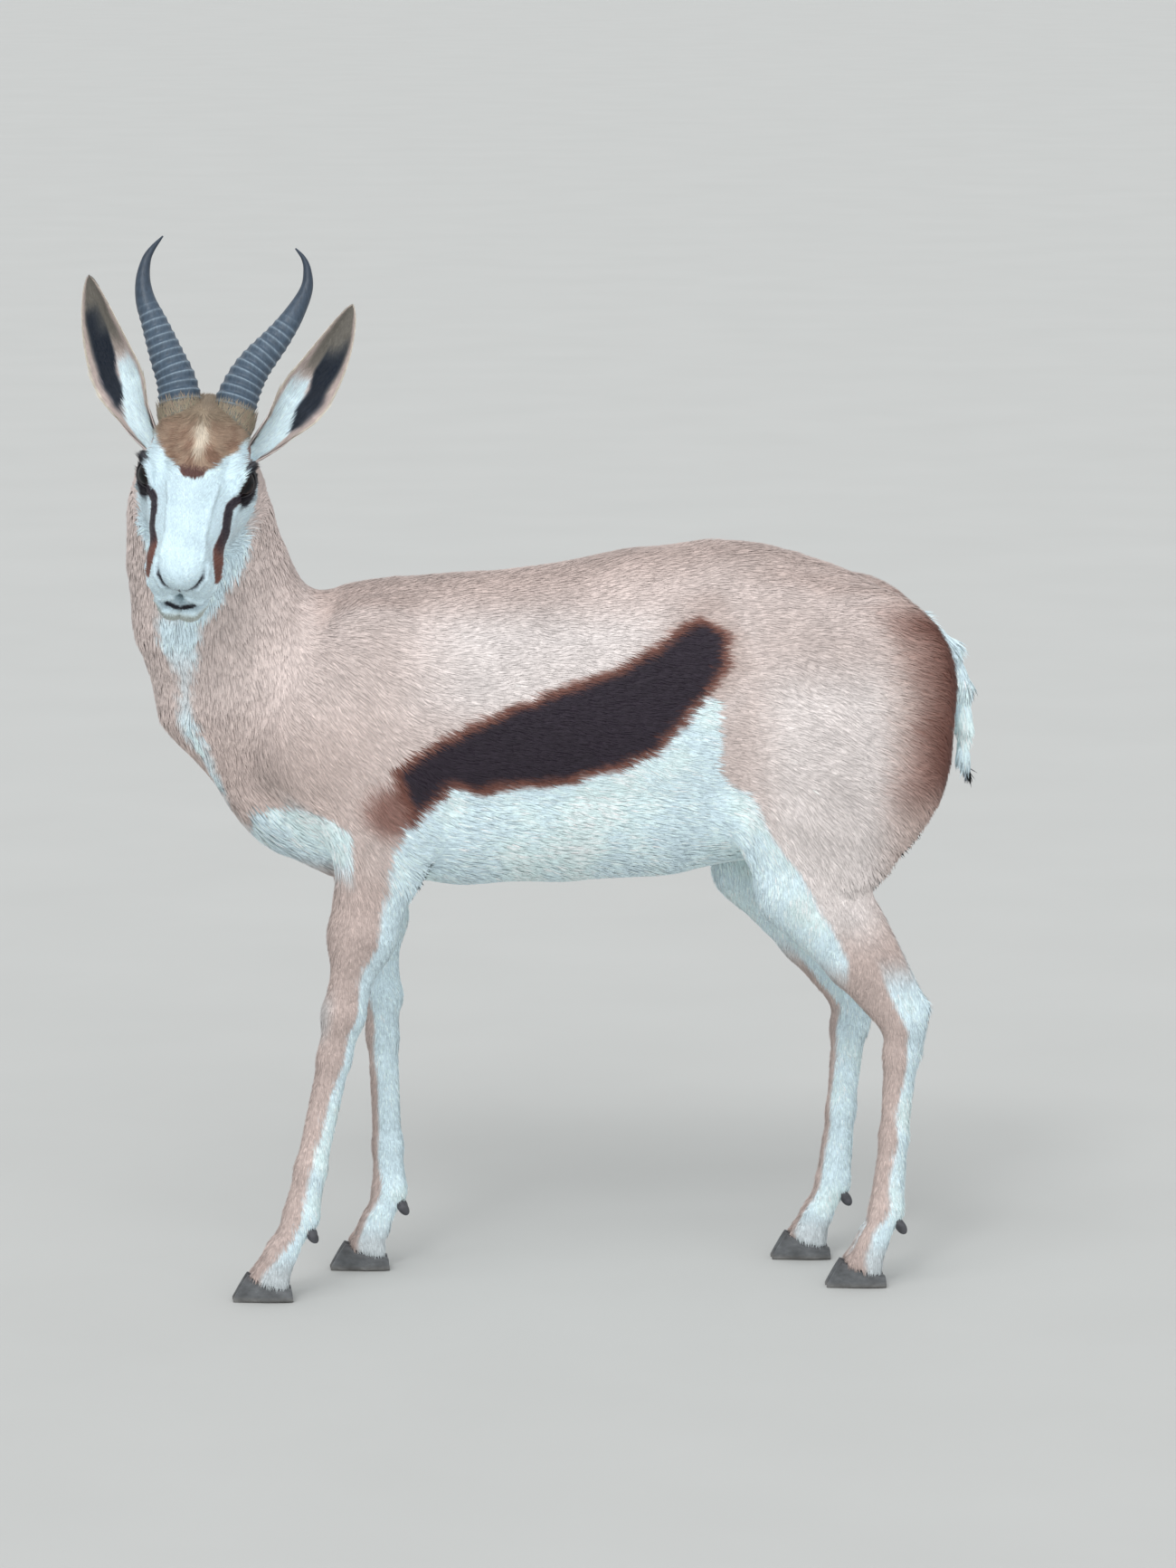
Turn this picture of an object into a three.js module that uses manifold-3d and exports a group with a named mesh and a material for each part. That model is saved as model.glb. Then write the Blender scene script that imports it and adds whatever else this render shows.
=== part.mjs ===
// A life-size springbok standing still with its head turned to its left side.
//
// Millimetres, +Z up. The animal faces -X, so its left side is -Y. The floor is Z = 0.
// Flesh is one smooth distance field, made of rounded "bones" blended together, out to the
// tips of the short coat. Each part of the body is a net of triangles laid on that field and
// parted from its neighbours by a thin plane cut. Ears, horns, claws and tail are lofted.

import * as THREE from "three";
import { mergeVertices } from "three/addons/utils/BufferGeometryUtils.js";
import Module from "manifold-3d";

const wasm = await Module();
wasm.setup();

// Driving dimensions

const GAP = 0.3; // kept between neighbouring parts
const RAD = Math.PI / 180;

// Head: the head's own frame has u towards the nose, v to the animal's left and w to the crown,
// with its origin midway between the eyes.
const HEAD_AT = [-349, -112, 864];
const HEAD_TURN = 78.4 * RAD; // from straight ahead towards the left side
const HEAD_NOD = 38 * RAD; // nose down
const HEAD_TILT = 7 * RAD; // left ear down
const EYE_RADIUS = 18;
const EYE_AT = [1, 42, 3];
const LID_THICKNESS = 2.5;
const HORN_BASE_RADIUS = 25;
const HORN_RINGS = 12;

// Feet: the middle of each hoof on the floor, and the height at which hair gives way to horn
const HOOF_LENGTH = 62;
const HOOF_WIDTH = 18;
const HOOF_TOE_HEIGHT = 27;
const HOOF_HEEL_HEIGHT = 11;

// Distance-field helpers

const clamp = (value, low, high) => Math.min(high, Math.max(low, value));
const mix = (a, b, t) => a + (b - a) * t;

// The union of two distances, rounded over k millimetres.
function blend(a, b, k) {
  const h = Math.max(k - Math.abs(a - b), 0) / k;
  return Math.min(a, b) - h * h * k * 0.25;
}

// A rounded bar from a to b with end radii ra and rb. Its width along y is `wide` times its depth.
function bone(a, b, ra, rb, wide = 1) {
  const d = [b[0] - a[0], (b[1] - a[1]) / wide, b[2] - a[2]];
  const squared = d[0] * d[0] + d[1] * d[1] + d[2] * d[2] || 1;
  return (x, y, z) => {
    const p = [x - a[0], (y - a[1]) / wide, z - a[2]];
    const t = clamp((p[0] * d[0] + p[1] * d[1] + p[2] * d[2]) / squared, 0, 1);
    return Math.hypot(p[0] - t * d[0], p[1] - t * d[1], p[2] - t * d[2]) - mix(ra, rb, t);
  };
}

// Bones joined end to end through joints [x, y, z, radius, wide].
const chain = (joints) =>
  joints.slice(1).map((to, i) => {
    const from = joints[i];
    return bone(from, to, from[3], to[3], ((from[4] ?? 1) + (to[4] ?? 1)) / 2);
  });

// One field from many, blended over k.
const joined = (fields, k) => (x, y, z) =>
  fields.reduce((sum, field) => blend(sum, field(x, y, z), k), 1e3);

// The same field on both sides of the y = 0 plane.
const paired = (field) => (x, y, z) => field(x, Math.abs(y), z);

// Anatomy: trunk and neck

const trunk = joined(
  chain([
    [-222, 0, 598, 126, 0.6],
    [-160, 0, 592, 152, 0.6],
    [-70, 0, 588, 160, 0.64],
    [30, 0, 592, 163, 0.66],
    [120, 0, 602, 169, 0.62],
    [212, 0, 615, 166, 0.58],
    [285, 0, 627, 131, 0.58],
    [336, 0, 631, 92, 0.6],
  ]),
  20,
);
const brisket = bone([-238, 0, 520], [-185, 0, 505], 58, 68, 0.72);
const shoulder = joined(
  [
    bone([-172, 56, 688], [-226, 66, 590], 42, 58, 0.6),
    bone([-226, 66, 590], [-160, 70, 500], 56, 50, 0.62),
  ],
  30,
);
const haunch = joined(
  [
    bone([332, 60, 632], [327, 66, 580], 109, 108, 0.4),
    bone([306, 60, 600], [306, 66, 548], 108, 112, 0.4),
    bone([250, 56, 676], [314, 58, 632], 56, 90, 0.42),
  ],
  30,
);
const neck = joined(
  chain([
    [-292, 0, 650, 106, 0.66],
    [-323, -6, 715, 87, 0.74],
    [-338, -16, 775, 77, 0.78],
    [-344, -26, 825, 69, 0.86],
    [-346, -40, 868, 56, 1],
  ]),
  20,
);

// Anatomy: legs, each a chain of joints from the muscle down to the coronet

const KNEE = 23;
const between = (a, b, t, radius, wide) => [...a.map((c, i) => mix(c, b[i], t)), radius, wide];
const offset = (a, x, z) => [a[0] + x, a[1], a[2] + z];

const frontLeg = ([elbow, knee, fetlock, coronet], depth) =>
  joined(
    [
      bone(offset(elbow, 4, 30), elbow, 52, 46, 0.6),
      ...chain([
        [...elbow, 46, 0.56],
        between(elbow, knee, 0.5, 36, 0.66),
        between(elbow, knee, 0.84, depth + 3, 0.82),
        [...knee, KNEE, 0.84],
        between(knee, fetlock, 0.22, depth, 0.72),
        between(knee, fetlock, 0.78, depth - 1, 0.72),
        [...fetlock, depth + 2, 0.86],
      ]),
      ...digits(fetlock, coronet),
    ],
    10,
  );

// The thigh, the shin, the heel's bone with its cord behind the shin, and the cannon.
const hindLeg = ([stifle, hock, fetlock, coronet]) => {
  const heel = offset(hock, 15, 24);
  return joined(
    [
      bone([308, stifle[1], 548], [294, stifle[1], 486], 106, 84, 0.42),
      bone([290, stifle[1], 490], stifle, 76, 48, 0.55),
      ...chain([
        [...stifle, 48, 0.6],
        between(offset(stifle, 4, 0), offset(hock, 4, 0), 0.5, 33, 0.7),
        [...offset(hock, -2, 6), 22, 0.82],
        [...offset(hock, -4, -26), 20, 0.8],
        between(hock, fetlock, 0.6, 16.5, 0.78),
        [...fetlock, 20, 0.86],
      ]),
      bone(offset(stifle, 58, -10), heel, 20, 13, 0.6),
      bone(heel, offset(hock, 6, -20), 13, 14, 0.75),
      ...digits(fetlock, coronet),
    ],
    10,
  );
};

// The pastern's two toes, side by side, down into the tops of the claws.
function digits(fetlock, coronet) {
  return [-1, 1].flatMap((toe) => {
    const y = coronet[1] + toe * (HOOF_WIDTH / 2 + 0.5);
    return chain([
      [fetlock[0], fetlock[1] + toe * 5, fetlock[2] - 4, 17, 0.72],
      [mix(fetlock[0], coronet[0], 0.72), y, mix(fetlock[2], coronet[2], 0.72), 15, 0.62],
      [coronet[0] - 5, y, coronet[2] - 14, 23, 0.43],
    ]);
  });
}

// Each leg's joints: elbow or stifle, knee or hock, fetlock, and the middle of the hoof's top.
const LEGS = {
  front_left: {
    joints: [[-163, -68, 462], [-201, -66, 302], [-246, -65, 92], [-276, -65, 34]],
    depth: 18,
  },
  front_right: {
    joints: [[-166, 68, 462], [-153, 66, 296], [-145, 65, 88], [-166, 65, 34]],
    depth: 17.5,
  },
  hind_left: { joints: [[272, -70, 428], [386, -68, 272], [368, -66, 84], [346, -66, 34]] },
  hind_right: { joints: [[246, 70, 428], [350, 68, 276], [330, 66, 86], [306, 66, 34]] },
};
for (const [name, leg] of Object.entries(LEGS)) {
  leg.side = name.endsWith("left") ? -1 : 1;
  leg.front = name.startsWith("front");
  leg.field = leg.front ? frontLeg(leg.joints, leg.depth) : hindLeg(leg.joints);
}

// Anatomy: head, in its own frame, with v mirrored

const CHEEK = [[-48, 27, -42, 30], [4, 28, -34, 26], [52, 20, -24, 19], [96, 18, -24, 19]];
const UPPER_LIP = [[96, 18, -24, 19], [124, 14.5, -24, 18.5]];
const JAW = [[-46, 22, -56, 22], [10, 18, -51, 20], [84, 16, -51, 17], [124, 8.5, -58, 16.5]];
const skull = joined(
  [
    ...chain([
      [-58, 0, 0, 45],
      [-34, 0, 5, 46.5],
      [-2, 0, 9, 33, 1.12],
      [30, 0, 6, 26, 1.2],
      [74, 0, 2, 22.5, 1.2],
      [116, 0, 0, 20.5, 1.2],
      [130, 0, -4, 19.5, 1.22],
    ]),
    paired(bone([-12, 34, 14], [10, 33, 4], 16, 14)),
    ...[CHEEK, UPPER_LIP, JAW].flatMap(chain).map(paired),
    paired(bone([6, 29, -10], [72, 17, -8], 23, 19)),
    paired(bone(EYE_AT, EYE_AT, EYE_RADIUS + LID_THICKNESS, EYE_RADIUS + LID_THICKNESS)),
  ],
  12,
);

// From the body's frame into the head's, and back.
const headFrame = new THREE.Group();
headFrame.position.set(...HEAD_AT);
{
  const turn = new THREE.Matrix4().makeRotationZ(HEAD_TURN - Math.PI);
  const nod = new THREE.Matrix4().makeRotationY(HEAD_NOD);
  const tilt = new THREE.Matrix4().makeRotationX(-HEAD_TILT);
  headFrame.quaternion.setFromRotationMatrix(turn.multiply(nod).multiply(tilt));
}
headFrame.updateMatrixWorld(true);
const TO_BODY = headFrame.matrixWorld.clone();
const TO_HEAD = TO_BODY.clone().invert();
const carry = (m, x, y, z) => {
  const e = m.elements;
  return [
    e[0] * x + e[4] * y + e[8] * z + e[12],
    e[1] * x + e[5] * y + e[9] * z + e[13],
    e[2] * x + e[6] * y + e[10] * z + e[14],
  ];
};

// The whole animal's flesh, and the same seen from the head.
const bodyFields = [
  [trunk, 1],
  [brisket, 40],
  [paired(shoulder), 34],
  [paired(haunch), 40],
  [neck, 24],
  ...Object.values(LEGS).map((leg) => [leg.field, 22]),
];
function flesh(x, y, z) {
  const d = bodyFields.reduce((sum, [field, k]) => blend(sum, field(x, y, z), k), 1e3);
  return blend(d, skull(...carry(TO_HEAD, x, y, z)), 18);
}
const fleshFromHead = (u, v, w) =>
  blend(neck(...carry(TO_BODY, u, v, w)), skull(u, v, w), 18);

// Surface net: one point in each grid cell that the surface crosses, moved onto the surface

function surfaceNet(field, xs, ys, zs, level = 0) {
  const [nx, ny, nz] = [xs.length, ys.length, zs.length];
  const at = (i, j, k) => (i * ny + j) * nz + k;
  const value = new Float32Array(nx * ny * nz);
  const edge = (i, n) => i === 0 || i === n - 1;
  for (let i = 0; i < nx; i++)
    for (let j = 0; j < ny; j++)
      for (let k = 0; k < nz; k++) {
        const inside = field(xs[i], ys[j], zs[k]) - level;
        value[at(i, j, k)] = edge(i, nx) || edge(j, ny) || edge(k, nz) ? Math.max(inside, 0.01) : inside;
      }
  const points = [];
  const cell = new Map();
  for (let i = 0; i < nx - 1; i++)
    for (let j = 0; j < ny - 1; j++)
      for (let k = 0; k < nz - 1; k++) {
        const point = cellPoint(value, at, [i, j, k], [xs, ys, zs]);
        if (!point) continue;
        const border = [[i, nx], [j, ny], [k, nz]].some(([n, count]) => n === 0 || n === count - 2);
        cell.set(at(i, j, k), points.length / 3);
        points.push(...(border ? point : settle(field, level, point)));
      }
  const faces = [];
  const step = [[1, 0, 0], [0, 1, 0], [0, 0, 1]];
  for (let i = 0; i < nx - 1; i++)
    for (let j = 0; j < ny - 1; j++)
      for (let k = 0; k < nz - 1; k++)
        for (let axis = 0; axis < 3; axis++) {
          const [a, b] = [step[(axis + 1) % 3], step[(axis + 2) % 3]];
          const here = value[at(i, j, k)] < 0;
          if (here === value[at(i + step[axis][0], j + step[axis][1], k + step[axis][2])] < 0) continue;
          const ring = [[0, 0], [1, 0], [1, 1], [0, 1]].map(([p, q]) =>
            cell.get(at(i - p * a[0] - q * b[0], j - p * a[1] - q * b[1], k - p * a[2] - q * b[2])),
          );
          addQuad(faces, points, here ? ring : ring.reverse());
        }
  return geometryOf(points, faces);
}

// The mean of the places where the surface crosses one cell's edges, or null if it misses it.
function cellPoint(value, at, [i, j, k], [xs, ys, zs]) {
  const sum = [0, 0, 0];
  let crossings = 0;
  for (let corner = 0; corner < 8; corner++)
    for (let axis = 0; axis < 3; axis++) {
      if (corner & (1 << axis)) continue;
      const far = corner | (1 << axis);
      const index = (c) => [i + (c & 1), j + ((c >> 1) & 1), k + ((c >> 2) & 1)];
      const [p, q] = [index(corner), index(far)];
      const [a, b] = [value[at(...p)], value[at(...q)]];
      if (a < 0 === b < 0) continue;
      const t = a / (a - b);
      [xs, ys, zs].forEach((line, n) => (sum[n] += mix(line[p[n]], line[q[n]], t)));
      crossings++;
    }
  return crossings ? sum.map((s) => s / crossings) : null;
}

// Moves a point along the field's slope until it lies on the surface.
function settle(field, level, point) {
  const h = 0.5;
  let p = point;
  for (let pass = 0; pass < 3; pass++) {
    const f = field(...p) - level;
    const slope = [0, 1, 2].map((n) => {
      const [more, less] = [[...p], [...p]];
      more[n] += h;
      less[n] -= h;
      return (field(...more) - field(...less)) / (2 * h);
    });
    const squared = Math.max(slope.reduce((s, g) => s + g * g, 0), 0.05);
    p = p.map((c, n) => c - clamp((f * slope[n]) / squared, -4, 4));
  }
  return p;
}

// A quad as two triangles, split along its shorter diagonal.
function addQuad(faces, points, [a, b, c, d]) {
  const apart = (p, q) =>
    Math.hypot(...[0, 1, 2].map((n) => points[3 * p + n] - points[3 * q + n]));
  if (apart(a, c) <= apart(b, d)) faces.push(a, b, c, a, c, d);
  else faces.push(a, b, d, b, c, d);
}

function geometryOf(points, faces) {
  return new THREE.BufferGeometry()
    .setAttribute("position", new THREE.BufferAttribute(new Float32Array(points), 3))
    .setIndex(faces);
}

// The same, with every triangle turned over if the surface would be inside out.
function outwardGeometry(points, faces) {
  const corner = (i) => new THREE.Vector3().fromArray(points, 3 * faces[i]);
  let volume = 0;
  for (let i = 0; i < faces.length; i += 3)
    volume += corner(i).dot(corner(i + 1).cross(corner(i + 2)));
  return geometryOf(points, volume > 0 ? faces : [...faces].reverse());
}

// Evenly spaced grid lines, and lines whose spacing follows named stretches [to, cell].
const evenly = (low, high, cell) => {
  const count = Math.ceil((high - low) / cell);
  return Array.from({ length: count + 1 }, (_, i) => low + i * cell);
};
const stretches = (low, ...parts) =>
  parts.reduce((lines, [to, cell]) => {
    const from = lines.at(-1);
    const count = Math.max(1, Math.round((to - from) / cell));
    return [...lines, ...Array.from({ length: count }, (_, i) => mix(from, to, (i + 1) / count))];
  }, [low]);

// Solids

function solidOf(geometry, matrix) {
  const bare = new THREE.BufferGeometry().setAttribute(
    "position",
    (geometry.index ? geometry.toNonIndexed() : geometry).getAttribute("position").clone(),
  );
  if (matrix) bare.applyMatrix4(matrix);
  const merged = mergeVertices(bare, 1e-4);
  return new wasm.Manifold(
    new wasm.Mesh({
      numProp: 3,
      vertProperties: merged.attributes.position.array,
      triVerts: new Uint32Array(merged.index.array),
    }),
  );
}

// The largest closed surface of a solid, as a geometry.
function geometryFrom(solid) {
  const largest = solid.decompose().reduce((a, b) => (b.volume() > a.volume() ? b : a));
  const mesh = largest.getMesh();
  const points = [];
  for (let i = 0; i < mesh.numVert; i++)
    points.push(...mesh.vertProperties.slice(i * mesh.numProp, i * mesh.numProp + 3));
  return geometryOf(points, [...mesh.triVerts]);
}

// A wide block that fills the side of a plane that its normal points to.
const BLOCK = 900;
function beyond(point, normal, gap = 0) {
  const n = new THREE.Vector3(...normal).normalize();
  const middle = new THREE.Vector3(...point).addScaledVector(n, BLOCK / 2 + gap);
  const turn = new THREE.Quaternion().setFromUnitVectors(new THREE.Vector3(0, 0, 1), n);
  const matrix = new THREE.Matrix4().compose(middle, turn, new THREE.Vector3(1, 1, 1));
  return solidOf(new THREE.BoxGeometry(BLOCK, BLOCK, BLOCK), matrix);
}

// A closed skin through rings of points, with a fan over each end.
function loft(rings) {
  const points = [];
  const faces = [];
  const n = rings[0].length;
  for (const ring of rings) for (const p of ring) points.push(...p);
  for (let r = 0; r + 1 < rings.length; r++)
    for (let i = 0; i < n; i++) {
      const next = (i + 1) % n;
      addQuad(faces, points, [r * n + i, r * n + next, (r + 1) * n + next, (r + 1) * n + i]);
    }
  for (const [r, flip] of [[0, true], [rings.length - 1, false]]) {
    const middle = [0, 1, 2].map((c) => rings[r].reduce((s, p) => s + p[c], 0) / n);
    points.push(...middle);
    const hub = points.length / 3 - 1;
    for (let i = 0; i < n; i++) {
      const pair = [r * n + i, r * n + ((i + 1) % n)];
      faces.push(...(flip ? pair.reverse() : pair), hub);
    }
  }
  return outwardGeometry(points, faces);
}

// A closed sheet between two grids of points of the same size, joined round their borders.
function thickSheet(front, back) {
  const rows = front.length;
  const columns = front[0].length;
  const points = [...front.flat(2), ...back.flat(2)];
  const faces = [];
  const at = (r, c, side) => side * rows * columns + r * columns + c;
  for (let r = 0; r + 1 < rows; r++)
    for (let c = 0; c + 1 < columns; c++) {
      addQuad(faces, points, [at(r, c, 0), at(r, c + 1, 0), at(r + 1, c + 1, 0), at(r + 1, c, 0)]);
      addQuad(faces, points, [at(r + 1, c, 1), at(r + 1, c + 1, 1), at(r, c + 1, 1), at(r, c, 1)]);
    }
  const border = [
    ...Array.from({ length: columns - 1 }, (_, c) => [0, c]),
    ...Array.from({ length: rows - 1 }, (_, r) => [r, columns - 1]),
    ...Array.from({ length: columns - 1 }, (_, c) => [rows - 1, columns - 1 - c]),
    ...Array.from({ length: rows - 1 }, (_, r) => [rows - 1 - r, 0]),
  ];
  border.forEach(([r, c], i) => {
    const [r2, c2] = border[(i + 1) % border.length];
    addQuad(faces, points, [at(r2, c2, 0), at(r, c, 0), at(r, c, 1), at(r2, c2, 1)]);
  });
  return outwardGeometry(points, faces);
}

const vector = (p) => new THREE.Vector3(...p);
const array = (v) => [v.x, v.y, v.z];

// Where the parts of the body are cut: a point of each plane and its normal, towards the head

const NECK_CUT = { point: [-285, 0, 660], normal: [-0.84, 0, 0.54] };
const HEAD_CUT = { point: [-66, 0, -40], normal: [0.86, 0, 0.51] }; // in the head's frame
const JAW_CUT = { point: [0, 0, -80], normal: [0, 0, 1] };
const FRONT_CUT = { top: 470, front: -400, back: -112, inner: 34 };
const HIND_CUT = { top: 520, front: 171, back: 470, inner: 22, fold: 0.2 };

// The space of the head in its own frame: in front of the poll and above the throat.
const headSpace = (gap) =>
  beyond(HEAD_CUT.point, HEAD_CUT.normal, gap).intersect(beyond(JAW_CUT.point, JAW_CUT.normal, gap));

// The space of one leg below its top cut, grown by gap.
function legSpace(leg, gap) {
  const cut = leg.front ? FRONT_CUT : HIND_CUT;
  const [low, high] = [-60, cut.top + gap];
  const depth = 200 + 2 * gap;
  const box = new THREE.BoxGeometry(cut.back - cut.front + 2 * gap, depth, high - low);
  const middle = [(cut.front + cut.back) / 2, leg.side * (cut.inner + 100), (low + high) / 2];
  const space = solidOf(box, new THREE.Matrix4().makeTranslation(...middle));
  if (leg.front) return space;
  // The front of the thigh is cut along the fold of the flank.
  return space.subtract(beyond([cut.front + 20 - gap, 0, cut.top], [-1, 0, -cut.fold], 0));
}

// The plane of the coronet, where the toes' hair meets the claws: its normal points up.
function coronet(leg, gap) {
  const toe = leg.joints[3][0] - HOOF_LENGTH * 0.42;
  const drop = HOOF_TOE_HEIGHT - HOOF_HEEL_HEIGHT;
  return beyond([toe, 0, HOOF_TOE_HEIGHT], [drop, 0, HOOF_LENGTH * 0.7], gap);
}

// Parts of flesh

function torsoSolid() {
  const net = surfaceNet(flesh, evenly(-400, 480, 31), evenly(-135, 135, 24.5), evenly(395, 820, 25));
  let torso = solidOf(net).subtract(beyond(NECK_CUT.point, NECK_CUT.normal, -GAP / 2));
  for (const leg of Object.values(LEGS)) torso = torso.subtract(legSpace(leg, GAP));
  return torso;
}

function neckSolid() {
  const net = surfaceNet(flesh, evenly(-450, -130, 22), evenly(-160, 110, 20), evenly(470, 960, 22));
  return solidOf(net)
    .intersect(beyond(NECK_CUT.point, NECK_CUT.normal, GAP / 2))
    .subtract(headSpace(-GAP / 2).transform(TO_BODY.elements));
}

function legSolid(leg) {
  const xs = leg.joints.map((joint) => joint[0]);
  const [low, high] = leg.front ? [Math.min(...xs) - 44, Math.max(...xs) + 78] : [165, 465];
  const side = leg.side;
  const lines = [stretches(-4, [34, 14], [104, 10], [134, 14])].map((ys) => ys.map((y) => side * y))[0];
  const ys = side > 0 ? lines : lines.reverse();
  const net = surfaceNet(
    flesh,
    evenly(low, high, leg.front ? 10.7 : 14),
    ys,
    stretches(-8, [110, 13], [270, 28], [320, 15], [560, 25]),
  );
  return solidOf(net).intersect(legSpace(leg, 0)).intersect(coronet(leg, GAP));
}

function headSolids() {
  const us = stretches(-150, [-60, 13], [90, 10], [160, 8]);
  const vs = evenly(-90, 90, 10);
  const ws = stretches(-95, [-64, 10], [60, 9], [92, 10]);
  const net = (level) => solidOf(surfaceNet(fleshFromHead, us, vs, ws, level));
  return { skin: net(0), grown: net(GAP) };
}

// Eyes: a ball in a socket, under lids that leave an almond opening

const eyeCentre = (side) => [EYE_AT[0], side * EYE_AT[1], EYE_AT[2]];
function ball(centre, radius, detail = 14) {
  const sphere = new THREE.SphereGeometry(radius, detail, detail * 0.7);
  return solidOf(sphere, new THREE.Matrix4().makeTranslation(...centre));
}

// The almond opening: an extruded lens whose long axis runs from the inner to the outer corner.
function almond(side) {
  const [half, bulge] = [EYE_RADIUS * 0.98, EYE_RADIUS * 0.68];
  const outline = new THREE.Shape();
  outline.moveTo(-half, 0);
  outline.quadraticCurveTo(-half * 0.1, bulge * 2, half, 0);
  outline.quadraticCurveTo(0, -bulge * 1.7, -half, 0);
  const lens = new THREE.ExtrudeGeometry(outline, {
    depth: 30, bevelEnabled: false, curveSegments: 7,
  });
  // The shape's x runs forward and down along the head, its z outward and a little forward.
  const out = new THREE.Vector3(0.85, side, 0.3).normalize();
  const forward = new THREE.Vector3(0.9, 0, -0.42);
  forward.addScaledVector(out, -forward.dot(out)).normalize();
  const up = new THREE.Vector3().crossVectors(out, forward);
  if (up.z < 0) up.negate();
  const basis = new THREE.Matrix4().makeBasis(new THREE.Vector3().crossVectors(up, out), up, out);
  basis.setPosition(...array(vector(eyeCentre(side)).addScaledVector(out, 4)));
  return solidOf(lens, basis);
}

// Nostrils, mouth and the groove between them: thin tubes laid along the face's surface

// Points [u, v, w, radius] are moved onto the skull, then joined by a tube.
function groove(points) {
  const middle = points.map(([u, v, w]) => vector(settle(skull, 0, settle(skull, 0, [u, v, w]))));
  const path = new THREE.CatmullRomCurve3(middle);
  const count = points.length * 2;
  const rings = Array.from({ length: count }, (_, r) => {
    const t = r / (count - 1);
    const place = t * (points.length - 1);
    const i = Math.min(Math.floor(place), points.length - 2);
    const radius = mix(points[i][3], points[i + 1][3], place - i);
    const tangent = path.getTangent(t);
    const across = new THREE.Vector3(0.3, 0.1, 1).cross(tangent).normalize();
    const up = new THREE.Vector3().crossVectors(tangent, across);
    return Array.from({ length: 5 }, (_, i5) => {
      const a = (i5 / 5) * 2 * Math.PI;
      return array(
        path.getPoint(t)
          .addScaledVector(across, radius * Math.cos(a))
          .addScaledVector(up, radius * Math.sin(a)),
      );
    });
  });
  return solidOf(loft(rings));
}

const LIP_LINE = [[100, 40, -38, 0.4], [120, 34, -43, 1.2], [138, 20, -46, 1.4], [146, 0, -44, 1.5]];
const NOSTRIL = [
  [150, 1, -15, 1], [148, 9, -15, 1.3], [145, 17, -9, 1.9], [139, 24, -1, 2.1], [131, 27, 5, 0.8],
];
const PHILTRUM = [[150, 0, -14, 1], [149, 0, -28, 1.3], [146, 0, -45, 1.2]];

// Ears: a leaf rolled into a tube at its root and open above

const EAR_ROOT = [-48, 46, -12];
const EAR_BENDS = { left: [-98, 112, 34], right: [-98, -104, 34] }; // bow the ear's midline
const EAR_TIPS = { left: [-176, 136, 91], right: [-157, -130, 114] };
const EAR_HALF_WIDTH = 32;
const EAR_ROOT_SHARE = 0.4; // of that width, at the root
const EAR_ROWS = 11;
const EAR_COLUMNS = 7;
function earGeometry(name) {
  const side = name === "left" ? 1 : -1;
  const mirrored = ([u, v, w]) => new THREE.Vector3(u, side * v, w);
  const midline = new THREE.QuadraticBezierCurve3(
    mirrored(EAR_ROOT), vector(EAR_BENDS[name]), vector(EAR_TIPS[name]),
  );
  const point = (s, turn, inset) => {
    const axis = midline.getTangent(s);
    const open = new THREE.Vector3(0.72, side * 0.1, 0.68);
    open.addScaledVector(axis, -open.dot(axis)).normalize();
    const across = new THREE.Vector3().crossVectors(open, axis);
    const swell = mix(EAR_ROOT_SHARE, 1, Math.sin(Math.min(1, s * 2) * Math.PI * 0.5));
    const taper = Math.sin(Math.PI * Math.min(1, 0.2 + 0.8 * s ** 0.9)) ** 0.62;
    const half = s < 0.5 ? EAR_HALF_WIDTH * swell : EAR_HALF_WIDTH * taper + 1.5;
    const roll = mix(2.2, 1.05, clamp(s * 2.6, 0, 1)); // half the angle the leaf is rolled through
    const radius = half / Math.min(roll, 1.5);
    const thin = inset * mix(2.4, 1.3, s) * (1 - 0.4 * turn * turn);
    return array(
      midline.getPoint(s)
        .addScaledVector(axis, s === 0 ? -6 : 0)
        .addScaledVector(across, (radius - thin) * Math.sin(roll * turn))
        .addScaledVector(open, radius * 0.6 - (radius - thin) * Math.cos(roll * turn)),
    );
  };
  const grid = (inset) =>
    Array.from({ length: EAR_ROWS }, (_, r) =>
      Array.from({ length: EAR_COLUMNS }, (_, c) =>
        point(r / (EAR_ROWS - 1), mix(-1, 1, c / (EAR_COLUMNS - 1)), inset),
      ),
    );
  return thickSheet(grid(1), grid(0));
}

// Horns: ringed below, smooth above, bowed out and hooked in at the tips

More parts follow.
